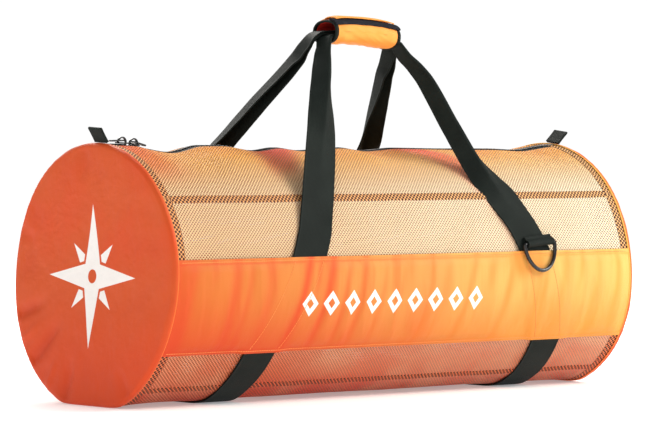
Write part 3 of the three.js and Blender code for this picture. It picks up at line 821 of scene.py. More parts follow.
# Each cloth's dye with painted light and shade: lighter toward the right end, with painted shade low down, on the top
# and under the bag.
BAND_DYE_AND_LIGHT = Glow(left=srgb(200, 105, 36), right=srgb(218, 182, 98), low=srgb(204, 60, 24), low_right=srgb(222, 146, 50))
CAP_DYE_AND_LIGHT = Glow(left=srgb(202, 80, 32), right=srgb(232, 112, 42), low=srgb(208, 72, 28))
MESH_DYE_AND_LIGHT = Glow(left=srgb(246, 216, 168), right=srgb(255, 246, 214), low=srgb(232, 112, 70),
                high=srgb(255, 184, 58), under=srgb(216, 62, 38))
SEAM_DYE_AND_LIGHT = Glow(left=srgb(246, 178, 114), right=srgb(248, 196, 132), low=srgb(230, 100, 60))


class Palette:
    """Every finish of the bag, made once."""

    def __init__(self) -> None:
        """Makes the materials."""
        # The hole colours are painted shade round the mesh's holes.
        self.mesh = OpenMesh("orange_mesh", MESH_DYE_AND_LIGHT, hole=srgb(150, 58, 24)).material()
        self.doubled = OpenMesh("doubled_mesh", SEAM_DYE_AND_LIGHT, hole=srgb(196, 84, 40), pitch=0.0056,
                                half_long=0.36, half_high=0.36, backing=srgb(58, 20, 8)).material()
        # The cap's fold colour is painted shade in its creases.
        self.cap = CoatedCloth("cap_cloth", CAP_DYE_AND_LIGHT, crease_depth=0.004, blotch=0.7, fold=srgb(184, 52, 24),
                               print_on=compass_star).material()
        self.band = CoatedCloth("band_cloth", BAND_DYE_AND_LIGHT, crease_depth=0.002, crease_stretch=(1, 1, 0.22),
                                streak=(1, 1, 0.16), print_on=diamond_row).material()
        # The wrap, lining and piping colours are dye with painted light and shade too: lighter toward the right end and
        # deeper low down.
        self.wrap = CoatedCloth("wrap_cloth", Glow(srgb(250, 160, 70), srgb(252, 172, 78), srgb(236, 110, 44)),
                                crease_depth=0.0016, crease_stretch=(0.5, 1, 1)).material()
        self.lining = CoatedCloth("wrap_lining", Glow(srgb(214, 46, 36), srgb(214, 46, 36), srgb(190, 34, 28)),
                                  crease_depth=0.0008).material()
        self.webbing = Webbing("black_webbing", 0.048).material()
        self.narrow = Webbing("narrow_webbing", 0.025).material()
        self.binding = Webbing("black_binding", 0.012, rib=0.0014).material()
        self.tape = Webbing("zipper_tape_cloth", 0.013, colour=(0.014, 0.014, 0.015), rib=0.0007).material()
        self.coil = CoilPlastic("zipper_nylon").material()
        self.closure = HookAndLoop("closure_strip").material()
        self.loop = Webbing("loop_webbing", 0.046).material()
        self.piping = CoatedCloth("piping_cloth", Glow(srgb(236, 120, 54), srgb(248, 196, 96), srgb(232, 120, 56)),
                                  crease_depth=0.0003).material()
        self.metal = GlossBlack("black_lacquer").material()
        self.orange_thread = Thread("orange_thread", srgb(244, 150, 74), srgb(214, 92, 40)).material()
        self.black_thread = Thread("black_thread", srgb(44, 48, 46), srgb(20, 22, 22)).material()


# ---------------------------------------------------------------- modelling


def deselect() -> None:
    """Leaves edit mode and selects nothing."""
    if bpy.context.object is not None and bpy.context.object.mode != "OBJECT":
        bpy.ops.object.mode_set(mode="OBJECT")
    bpy.ops.object.select_all(action="DESELECT")


def take(piece: bpy.types.Object) -> None:
    """Selects one object alone and makes it active."""
    deselect()
    piece.select_set(True)
    bpy.context.view_layer.objects.active = piece


def apply(piece: bpy.types.Object, kind: str, **settings: object) -> None:
    """Adds a modifier and applies it.

    Args:
        piece: the object.
        kind: the modifier's type.
        settings: its settings.
    """
    take(piece)
    modifier = piece.modifiers.new(kind.lower(), kind)
    for key, value in settings.items():
        setattr(modifier, key, value)
    bpy.ops.object.modifier_apply(modifier=modifier.name)


def link(name: str, data: bpy.types.ID) -> bpy.types.Object:
    """Adds an object to the scene round its data."""
    piece = bpy.data.objects.new(name, data)
    bpy.context.scene.collection.objects.link(piece)
    return piece


def edit(piece: bpy.types.Object, change: Callable[[], object]) -> None:
    """Runs an operator on a piece's whole mesh in edit mode."""
    take(piece)
    bpy.ops.object.mode_set(mode="EDIT")
    bpy.ops.mesh.select_all(action="SELECT")
    change()
    bpy.ops.object.mode_set(mode="OBJECT")


def merge(piece: bpy.types.Object, distance: float = 1e-6) -> None:
    """Joins points that lie on each other."""
    edit(piece, lambda: bpy.ops.mesh.remove_doubles(threshold=distance))


def face_outward(piece: bpy.types.Object) -> None:
    """Turns every face of a closed piece outward."""
    edit(piece, lambda: bpy.ops.mesh.normals_make_consistent(inside=False))


def smooth(piece: bpy.types.Object, degrees: float = 42.0) -> None:
    """Shades the piece smooth up to an angle."""
    take(piece)
    bpy.ops.object.shade_smooth_by_angle(angle=math.radians(degrees))


def thicken(cloth: bpy.types.Object, wall: float, offset: float = -1.0, rounding: float = 0.0) -> None:
    """Gives laid cloth its wall, rounds its cut edges and shades it smooth.

    Args:
        cloth: the cloth, one face thick.
        wall: its thickness.
        offset: where the wall lies: -1 under the laid face, 1 over it, 0 on both sides.
        rounding: width of the rounding of its edges, or 0 for thin cloth.
    """
    apply(cloth, "SOLIDIFY", thickness=wall, offset=offset)
    if rounding:
        apply(cloth, "BEVEL", width=rounding, segments=2, limit_method="ANGLE", angle_limit=math.radians(50))
    smooth(cloth, 50 if rounding else 60)


Placing = Callable[[float, float], Vector]
Tinting = Callable[[float, float], float]


def lay(name: str, cells: tuple[int, int], size: tuple[float, float], place: Placing, closes: bool = False,
        tint: Tinting | None = None) -> bpy.types.Object:
    """Cuts a rectangle of cloth and lays it where it goes.

    Args:
        name: the piece's name.
        cells: how many faces it has along and across.
        size: its flat size, which its UV map keeps.
        place: where a point of the cloth goes, from its shares along and across.
        closes: whether an edge meets the opposite one and is joined to it.
        tint: how much painted shade a point takes, from the same shares.

    Returns:
        The piece, one face thick.
    """
    deselect()
    bpy.ops.mesh.primitive_grid_add(x_subdivisions=cells[0], y_subdivisions=cells[1], size=2)
    piece = bpy.context.object
    piece.name = piece.data.name = name
    mesh = piece.data
    shares = [((vertex.co.x + 1) / 2, (vertex.co.y + 1) / 2) for vertex in mesh.vertices]
    for vertex, (u, v) in zip(mesh.vertices, shares):
        vertex.co = place(u, v)
    if tint is not None:
        depths = [min(max(tint(u, v), 0.0), 1.0) for u, v in shares]
        mesh.attributes.new(TINT, "FLOAT", "POINT").data.foreach_set("value", depths)
    for corner in mesh.uv_layers.active.data:
        corner.uv = (corner.uv.x * size[0], corner.uv.y * size[1])
    if closes:
        merge(piece, 2e-6)
    return piece


def dress(piece: bpy.types.Object, material: bpy.types.Material, slot: Slot, body: str = BODY,
          nodes: Sequence[str] = ()) -> bpy.types.Object:
    """Gives a piece its material, its body and the nodes that it stands for.

    Args:
        piece: the finished piece.
        material: its material.
        slot: the record's slot that its finish comes from; not used.
        body: the body that it rides on.
        nodes: the nodes that it replaces.

    Returns:
        The piece.
    """
    if not piece.data.materials:
        piece.data.materials.append(material)
    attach(piece, body)
    if nodes:
        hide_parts(*nodes)
    LOG.info("%s: %d faces", piece.name, len(piece.data.polygons))
    return piece


def refined(node: str, name: str, bevel: float) -> bpy.types.Object:
    """A copy of a hard node with its edges rounded.

    Args:
        node: the node's name.
        name: the new piece's name.
        bevel: width of the rounding.

    Returns:
        The copy, in a mesh of its own.
    """
    source = NODES[node]
    mesh = source.data.copy()
    mesh.transform(source.matrix_world)
    mesh.materials.clear()
    piece = link(name, mesh)
    merge(piece, 1e-5)
    edit(piece, lambda: bpy.ops.mesh.dissolve_limited(angle_limit=math.radians(2)))
    apply(piece, "BEVEL", width=bevel, segments=2, limit_method="ANGLE", angle_limit=math.radians(32))
    smooth(piece, 40)
    return piece


NODES: dict[str, bpy.types.Object] = {}


class Chain:
    """Repeats one small modelled element along a run, as one mesh."""

    def __init__(self, element: bpy.types.Object) -> None:
        """Keeps the element's mesh and removes its object."""
        self.points = [v.co.copy() for v in element.data.vertices]
        self.faces = [tuple(p.vertices) for p in element.data.polygons]
        bpy.data.objects.remove(element)

    def copies(self, name: str, places: Sequence[Matrix], degrees: float = 50.0) -> bpy.types.Object:
        """One piece with a copy of the element at every place.

        Args:
            name: the piece's name.
            places: where each copy stands.
            degrees: angle up to which it is shaded smooth.

        Returns:
            The piece.
        """
        points: list[Vector] = []
        faces: list[tuple[int, ...]] = []
        for place in places:
            first = len(points)
            points += [place @ p for p in self.points]
            faces += [tuple(first + k for k in face) for face in self.faces]
        mesh = bpy.data.meshes.new(name)
        mesh.from_pydata(points, [], faces)
        piece = link(name, mesh)
        smooth(piece, degrees)
        return piece


def basis(along: Vector, up: Vector, place: Vector) -> Matrix:
    """Frame at a place: X runs along, and Z is up as far as it can be."""
    x = along.normalized()
    z = (up - x * up.dot(x)).normalized()
    frame = Matrix((x, z.cross(x), z)).transposed().to_4x4()
    frame.translation = place
    return frame


@dataclass
class Sewing:
    """Rows of small stitches that lie half in the cloth."""

    palette: Palette
    step: float = 0.0036
    thread: float = 0.0004

    def element(self) -> bpy.types.Object:
        """One stitch: a short thread, thinner at both of its ends."""
        deselect()
        bpy.ops.mesh.primitive_cylinder_add(vertices=5, radius=self.thread, depth=self.step * 0.74,
                                            rotation=(0, math.pi / 2, 0))
        stitch = bpy.context.object
        bpy.ops.object.transform_apply(location=False, rotation=True, scale=True)
        bpy.ops.object.mode_set(mode="EDIT")
        bpy.ops.mesh.select_mode(type="FACE")
        bpy.ops.object.mode_set(mode="OBJECT")
        for face in stitch.data.polygons:
            face.select = abs(face.normal.x) > 0.9
        bpy.ops.object.mode_set(mode="EDIT")
        bpy.ops.mesh.inset(thickness=self.thread * 0.4, depth=self.thread * 0.5)
        bpy.ops.object.mode_set(mode="OBJECT")
        return stitch

    def rows(self, name: str, runs: Sequence[Sequence[tuple[Vector, Vector]]], material: bpy.types.Material,
             slot: Slot) -> bpy.types.Object:
        """Sews along several runs.

        Args:
            name: the piece's name.
            runs: each run's points with the cloth's outward direction there.
            material: the thread's material.
            slot: the record's slot.

        Returns:
            One piece with every stitch.
        """
        places: list[Matrix] = []
        for run in runs:
            along = marks([point for point, _ in run])
            count = max(int(along[-1] / self.step), 1)
            for k, share in spots(along, [(i + 0.5) * along[-1] / count for i in range(count)]):
                (here, up), (there, up_there) = run[k], run[k + 1]
                places.append(basis(there - here, up.lerp(up_there, share), here.lerp(there, share)))
        return dress(Chain(self.element()).copies(name, places), material, slot)


class ShadowRow(NamedTuple):
    """Where the straps' painted shadows lie on the mesh at one angle of the front."""

    angle: float
    left: float
    right: float


@dataclass
class MeshShell:
    """Open mesh body: five panels from seam to seam, doubled strips over the seams and beside the caps."""

    form: BagForm
    palette: Palette
    wall: float = 0.0005
    cell: float = 0.0062
    slack: float = 0.0022
    strip: float = 0.0105
    end_strip: float = 0.0125
    strip_wall: float = 0.0004
    shadows: tuple[ShadowRow, ...] = (
        ShadowRow(15, -0.19, 0.174), ShadowRow(45, -0.174, 0.143), ShadowRow(60, -0.156, 0.13),
        ShadowRow(75, -0.132, 0.12), ShadowRow(90, -0.11, 0.1),
    )

    def lift(self, x: float, angle: float, low: float, high: float) -> float:
        """Height of the mesh's outer face: loose inside a panel, and taut at its seams."""
        f = self.form
        edge = min(angle - low, high - angle) * math.radians(1) * f.radius
        ends = f.hem_end - abs(x)
        loose = smoothstep(edge, 0.002, 0.028) * smoothstep(ends, 0.004, 0.05)
        waves = 0.5 + 0.5 * ripple(Vector((x * 13, angle * 0.05, 0.2)), low)
        small = 0.5 + 0.5 * ripple(Vector((x * 34, angle * 0.16, 3.2)), low)
        return -0.0002 - self.slack * loose * (0.7 * waves + 0.3 * small)

    def glow(self, x: float, angle: float) -> float:
        """Painted shade on the mesh: the straps' painted shadows beside them, painted shade along the top roll by the
        zipper and in the hollow at the left end.
        """
        f = self.form
        front = angle if angle < 90 else 180 - angle
        high = smoothstep(front, 40, 84)
        most = 0.0
        for column in (1, 2):
            off = read(self.shadows, column, front) - x
            reach = 0.011 + 0.019 * high
            seen = smoothstep(front, 44, 62) if column == 1 else smoothstep(front, 8, 26)
            most = max(most, seen * smoothstep(off, -0.05, -0.02) * math.exp(-(max(off, 0.0) / reach) ** 2))
        beside = most * (0.6 + 0.15 * high) * (1.0 if angle < 90 else 0.3)
        # Painted shade along the top roll and in the hollow at the left end.
        roll = smoothstep(front, 58, 86) * (0.2 + 0.28 * ripple(Vector((x * 16, 0.3, 0.7)), 2.0))
        corner = 0.5 * smoothstep(front, 40, 62) * math.exp(-((x + f.hem_end - 0.02) / 0.045) ** 2)
        return beside + max(roll, 0.0) + corner

    def panel(self, node: str, low: float, high: float) -> bpy.types.Object:
        """Cuts and lays one panel.

        Args:
            node: the node that it replaces.
            low: angle of its first seam.
            high: angle of its other seam.

        Returns:
            The panel.
        """
        f = self.form
        end = f.hem_end + 0.002
        size = (2 * end, f.radius * math.radians(high - low))

        def place(u: float, v: float) -> Vector:
            """Point of the panel."""
            x, angle = end * (2 * u - 1), low + (high - low) * v
            return f.skin(x, angle, self.lift(x, angle, low, high))

        def tint(u: float, v: float) -> float:
            """Painted shade at a point of the panel."""
            return self.glow(end * (2 * u - 1), low + (high - low) * v)

        cells = (round(size[0] / self.cell), max(round(size[1] / self.cell), 3))
        cloth = lay(node + "_cloth", cells, size, place, tint=tint)
        thicken(cloth, self.wall)
        return dress(cloth, self.palette.mesh, Slot.MESH, nodes=[node])

    def seam(self, name: str, angle: float) -> bpy.types.Object:
        """Doubled strip over one seam, a little wavy."""
        f = self.form
        half = math.degrees(self.strip / 2 / f.radius)
        end = f.hem_end

        def place(u: float, v: float) -> Vector:
            """Point of the strip."""
            x = end * (2 * u - 1)
            sway = 0.35 * ripple(Vector((x * 24, 0.4, angle)), 1.0)
            across = angle + sway + half * (2 * v - 1)
            return f.skin(x, across, 0.00022 - 0.0002 * abs(2 * v - 1) ** 4)

        cloth = lay(name, (190, 6), (2 * end, self.strip), place)
        thicken(cloth, self.strip_wall)
        return dress(cloth, self.palette.doubled, Slot.MESH)

    def end_ring(self, end: End) -> bpy.types.Object:
        """Doubled strip round the body beside one cap."""
        f = self.form
        around = math.tau * f.radius

        def place(u: float, v: float) -> Vector:
            """Point of the strip."""
            angle = -90 + 360 * u
            inset = self.end_strip * (1 - v) if end is End.RIGHT else self.end_strip * v
            x = end.value * (f.hem_end - inset + 0.001)
            return f.skin(x, angle, 0.00024)

        cloth = lay(f"end_strip_{end.word}", (180, 5), (around, self.end_strip), place, closes=True)
        thicken(cloth, self.strip_wall, 1.0)
        return dress(cloth, self.palette.doubled, Slot.MESH)

    def build(self) -> None:
        """Makes every panel and strip."""
        f = self.form
        self.panel("mesh_top_front", f.upper_seam, f.zip_edge)
        self.panel("mesh_side_front", f.lower_seam, f.upper_seam)
        self.panel("mesh_bottom", -180 - f.lower_seam, f.lower_seam)
        self.panel("mesh_side_back", 180 - f.upper_seam, 180 - f.lower_seam)
        self.panel("mesh_top_back", 180 - f.zip_edge, 180 - f.upper_seam)
        for name, angle in (("upper_front", f.upper_seam), ("lower_front", f.lower_seam),
                            ("upper_back", 180 - f.upper_seam), ("lower_back", 180 - f.lower_seam)):
            self.seam(f"seam_strip_{name}", angle)
        for end in End:
            self.end_ring(end)


class CapRow(NamedTuple):
    """Profile of an end cap: share of its radius, and share of its depth."""

    reach: float
    depth: float


class CapFold(NamedTuple):
    """Crease in an end cap, running out from its middle."""

    angle: float
    start: float
    stop: float
    width: float
    depth: float


@dataclass
class EndCaps:
    """Coated round ends with creases, a rolled edge and a hem over the mesh."""

    form: BagForm
    palette: Palette
    wall: float = 0.0011
    cells: int = 110
    puckers: float = 0.0016
    crease_scale: float = 1.9
    profile: tuple[CapRow, ...] = (
        CapRow(0.0, 0.21), CapRow(0.3, 0.2), CapRow(0.58, 0.13), CapRow(0.8, 0.04), CapRow(0.93, 0.03),
        CapRow(0.975, 0.17), CapRow(1.0, 0.5),
    )
    folds: tuple[CapFold, ...] = (
        CapFold(-138, 0.42, 0.98, 0.055, 0.3), CapFold(-162, 0.55, 1.0, 0.05, 0.26),
        CapFold(-150, 0.68, 1.0, 0.03, -0.14), CapFold(-108, 0.6, 0.98, 0.06, 0.22),
        CapFold(-122, 0.66, 1.0, 0.03, -0.12), CapFold(100, 0.7, 1.0, 0.07, 0.15),
        CapFold(160, 0.72, 1.0, 0.05, 0.12), CapFold(-60, 0.74, 1.0, 0.05, 0.14),
    )

    def crease(self, angle: float, reach: float) -> float:
        """Depth of the creases at one point."""
        total = 0.0
        for fold in self.folds:
            off = math.radians(angle - fold.angle)
            along, across = reach * math.cos(off), reach * math.sin(off) / fold.width
            inside = smoothstep(along, fold.start, (fold.start + fold.stop) / 2)
            total += fold.depth * self.form.cap_depth * inside * math.exp(-across * across)
        return total

    @staticmethod
    def cloud(angle: float, reach: float, seed: float) -> float:
        """Unevenness of the cloth at one point, between about -1 and 1."""
        turn = math.radians(angle)
        return ripple(Vector((0, math.cos(turn) * reach * 5, math.sin(turn) * reach * 5)), seed)

    def creased(self, angle: float, reach: float) -> float:
        """How much painted shade a point takes in the creases and where the cloth puckers."""
        depth = self.crease(angle, reach) / self.form.cap_depth
        return max(depth, 0.0) * 1.3 + 0.3 * max(self.cloud(angle, reach, -1.0), 0.0) * smoothstep(reach, 0.3, 0.8)

    def point(self, end: End, angle: float, run: float, inset: float = 0.0) -> Vector:
        """Point of a cap's outer face.

        Args:
            end: which cap.
            angle: degrees round it.
            run: way from its middle, 1 at the rim, and up to the hem's edge beyond.
            inset: how far under the outer face.

        Returns:
            The point.
        """
        f = self.form
        side, reach = end.value, min(run, 1.0)
        past = smoothstep(run, 0.965, 1.0)
        depth = read(self.profile, 1, reach) if run <= 1 else 0.5 + 0.5 * (run - 1) / 0.03
        lift = f.clearance + f.cap_wall - inset * past
        place = side * (f.length / 2 - depth * f.cap_depth - inset * (1 - past))
        edge = f.skin(place, angle, lift)
        mirrored = angle if side < 0 else 180 - angle
        soft = 1 - smoothstep(reach, 0.94, 1)
        uneven = 0.5 + 0.5 * self.cloud(angle, reach, side)
        pucker = self.puckers * uneven * (0.3 + 0.7 * smoothstep(reach, 0.4, 0.9))
        gather = 0.0006 * smoothstep(reach, 0.7, 0.93) * (0.5 + 0.5 * ripple(Vector((angle * 0.14, 0, side)), 4))
        height = f.centre_height + (edge.z - f.centre_height) * reach
        crease = self.crease_scale * self.crease(mirrored, reach) + pucker + gather
        x = place + f.splay(place, height) - side * crease * soft
        return Vector((x, f.middle_y + (edge.y - f.middle_y) * reach, height))

    def cap(self, end: End) -> bpy.types.Object:
        """Cuts one round of cloth and gathers it over the end."""
        f = self.form
        side = end.value
        reach = 1.03
        across = 2 * (f.radius * reach)

        def spot(u: float, v: float) -> tuple[float, float, float]:
            """Point of a square laid into a circle, and its distance from the middle."""
            a, b = 2 * u - 1, 2 * v - 1
            p, q = a * math.sqrt(1 - b * b / 2), b * math.sqrt(1 - a * a / 2)
            return p, q, math.hypot(p, q)

        def place(u: float, v: float) -> Vector:
            """Point of the cap."""
            p, q, run = spot(u, v)
            return self.point(end, math.degrees(math.atan2(q, -side * p)), run * reach)

        def tint(u: float, v: float) -> float:
            """Painted shade at a point of the cap."""
            p, q, run = spot(u, v)
            return self.creased(math.degrees(math.atan2(q, p)), run)

        name = f"end_cap_{end.word}"
        cloth = lay(name + "_cloth", (self.cells, self.cells), (across, across), place, tint=tint)
        for corner in cloth.data.loops:
            at = cloth.data.vertices[corner.vertex_index].co
            cloth.data.uv_layers.active.data[corner.index].uv = (side * at.y, at.z)
        thicken(cloth, self.wall)
        math.pi / 4 * across * across
        return dress(cloth, self.palette.cap, Slot.CAP, nodes=[name])

    def piping(self, end: End) -> bpy.types.Object:
        """Thin corded edge along the hem of one cap."""
        f = self.form
        radius = 0.0009

        def place(u: float, v: float) -> Vector:
            """Point of the piping."""
            angle, turn = -90 + 360 * u, math.tau * v
            x = end.value * (f.hem_end + 0.0003 - radius * math.cos(turn))
            return f.skin(x, angle, f.clearance + radius * 0.9 + radius * math.sin(turn))

        size = (math.tau * f.radius, math.tau * radius)
        cord = lay(f"cap_piping_{end.word}", (240, 8), size, place, closes=True)
        smooth(cord, 60)
        return dress(cord, self.palette.piping, Slot.CAP)

    def build(self) -> None:
        """Makes both caps."""
        for end in End:
            self.cap(end)
            self.piping(end)


class BandFold(NamedTuple):
    """One soft fold of a band: its place, slant for each degree, half width, depth, and the angles it lies between."""

    place: float
    slant: float
    width: float
    depth: float
    low: float = -60.0
    high: float = 60.0


@dataclass
class SideBands:
    """Solid cloth bands along both sides, sewn over the mesh and the straps."""

    form: BagForm
    palette: Palette
    sewing: Sewing
    ring_x: float = 0.209
    wall: float = 0.0009
    wrinkle: float = 0.0024
    hem: float = 0.0052
    fold_depth: float = 0.0013
    edge_inset: float = 0.0036
    strap_inset: float = 0.0042
    folds: tuple[BandFold, ...] = (
        BandFold(-0.352, 0.0003, 0.009, 0.5), BandFold(-0.318, 0.0002, 0.006, 0.3, 0),
        BandFold(-0.283, 0.0003, 0.008, 0.55),
        BandFold(-0.262, 0.0004, 0.005, 0.35, -60, 8), BandFold(-0.232, 0.0003, 0.008, 0.4),
        BandFold(-0.178, 0.0007, 0.007, 1.0), BandFold(-0.16, 0.0006, 0.004, 0.5, -8),
        BandFold(-0.14, 0.0006, 0.007, 0.95),
        BandFold(-0.112, 0.0004, 0.005, 0.6, -60, 6), BandFold(-0.086, 0.0004, 0.006, 0.65),
        BandFold(-0.052, 0.0005, 0.005, 0.4, -60, 4), BandFold(-0.012, 0.0006, 0.007, 0.45, -4),
        BandFold(0.026, 0.0006, 0.005, 0.5), BandFold(0.052, 0.0007, 0.007, 0.35, -60, 4),
        BandFold(0.096, 0.0007, 0.006, 0.55), BandFold(0.128, 0.0008, 0.008, 0.4, -6),
        BandFold(0.163, 0.0006, 0.007, 0.7), BandFold(0.196, -0.0006, 0.004, 0.5, -60, 6),
        BandFold(0.222, 0.0003, 0.005, 0.55, -60, 2), BandFold(0.256, 0.0006, 0.007, 0.45),
        BandFold(0.283, 0.0006, 0.005, 0.6, -4), BandFold(0.312, 0.0004, 0.006, 0.4),
        BandFold(0.347, 0.0002, 0.006, 0.6),
    )

    def fold(self, x: float, front: float) -> float:
        """How far into a fold a point lies, from 0 to about 1."""
        deepest = 0.0
        sway = 0.005 * ripple(Vector((x * 9, front * 0.05, 2.4)), 4.0)
        for fold in self.folds:
            off = (x - fold.place - fold.slant * front + sway) / fold.width
            if abs(off) > 2.4:
                continue
            inside = smoothstep(front, fold.low - 8, fold.low + 8)
            inside *= 1 - smoothstep(front, fold.high - 8, fold.high + 8)
            deepest = max(deepest, fold.depth * inside * math.exp(-off * off))
        return deepest

    def lift(self, x: float, angle: float, front: float) -> float:
        """Height of the band's outer face over the mesh.

        Args:
            x: place along the bag.
            angle: degrees round it.
            front: the same angle on the front half.

        Returns:
            The height.
        """
        f = self.form
        over = f.over_strap(x, angle)
        edge = min(front - f.band_bottom, f.band_top - front) * math.radians(1) * f.radius
        seam = smoothstep(edge, 0.0, 0.016) * smoothstep(f.hem_end - abs(x), 0.0, 0.02)
        beside_ring = smoothstep(abs(x - self.ring_x), 0.035, 0.075)
        at = Vector((x * 30, front * 0.022, angle * 0.001))
        broad = abs(ripple(at, 2.0)) ** 0.8
        fine = 0.5 + 0.5 * ripple(Vector((x * 95, front * 0.035, 1.0)), 5.0)
        slack = (1 - 0.85 * over) * seam * beside_ring
        hem = 0.0004 * (1 - smoothstep(edge, self.hem * 0.8, self.hem)) * (1 - 0.5 * over)
        base = f.clearance + (f.webbing + f.clearance) * over + self.wall
        puffed = self.wrinkle * (0.75 * (1 - broad) + 0.25 * fine) + self.fold_depth * (1 - self.fold(x, front))
        return base + hem + slack * puffed

    def depth(self, x: float, front: float) -> float:
        """How much painted shade the band takes: in its folds, along the hem and in the ring's painted shadow."""
        f = self.form
        edge = min(front - f.band_bottom, f.band_top - front) * math.radians(1) * f.radius
        # Painted shade in a thin line along the hem.
        line = math.exp(-((edge - self.hem - 0.0012) / 0.0012) ** 2)
        ring = math.hypot((x - self.ring_x + 0.022) / 0.026, (front - 5) / 7)
        shadow = 0.75 * math.exp(-(ring - 0.6) ** 2 * 3) if ring < 2.2 else 0.0
        return max(self.fold(x, front), 0.7 * line, shadow)

    def band(self, face: Face) -> bpy.types.Object:
        """Cuts and lays one band."""
        f = self.form
        low, high = f.band_bottom, f.band_top
        size = (2 * f.hem_end, f.radius * math.radians(high - low))

        def spot(u: float, v: float) -> tuple[float, float]:
            """Place along the bag, and angle on the front half, of a point of the cloth."""
            return f.hem_end * (2 * u - 1), low + (high - low) * (v if face is Face.FRONT else 1 - v)

        def place(u: float, v: float) -> Vector:
            """Point of the band."""
            x, front = spot(u, v)
            angle = face.turned(front)
            return f.skin(x, angle, self.lift(x, angle, front))

        name = f"side_band_{face.word}"
        cloth = lay(name + "_cloth", (340, 60), size, place, tint=lambda u, v: self.depth(*spot(u, v)))
        thicken(cloth, self.wall)
        return dress(cloth, self.palette.band, Slot.BAND, nodes=[name])

    def stitches(self, face: Face) -> bpy.types.Object:
        """Rows along the band's edges and along both edges of each strap under it."""
        f = self.form

        def on_band(x: float, front: float) -> tuple[Vector, Vector]:
            """Point on the band's face, and its outward direction."""
            angle = face.turned(front)
            lift = self.lift(x, angle, front)
            here = f.skin(x, angle, lift)
            return here, (f.skin(x, angle, lift + 0.001) - here).normalized()

        inset = math.degrees(self.edge_inset / f.radius)
        runs = [[on_band(f.hem_end * (2 * k / 300 - 1), front) for k in range(2, 299)]
                for front in (f.band_top - inset, f.band_bottom + inset)]
        for end in End:
            for side in (-1, 1):
                run = []
                for k in range(41):
                    front = f.band_bottom + 2 + (f.band_top - f.band_bottom - 4) * k / 40
                    angle = face.turned(front)
                    x = f.strap_middle(end, angle) + side * (f.strap_half(end, angle) - self.strap_inset)
                    run.append(on_band(x, front))
                runs.append(run)
        return self.sewing.rows(f"band_stitches_{face.word}", runs, self.palette.orange_thread, Slot.BAND)

    def build(self) -> None:
        """Makes both bands."""
        for face in Face:
            self.band(face)
            self.stitches(face)


@dataclass
class StrapStation:
    """One section of a strap: its middle, the way into its fold, the fold, and how far it is cut along the bag."""

    point: Vector
    into: Vector
    fold: float
    level: float


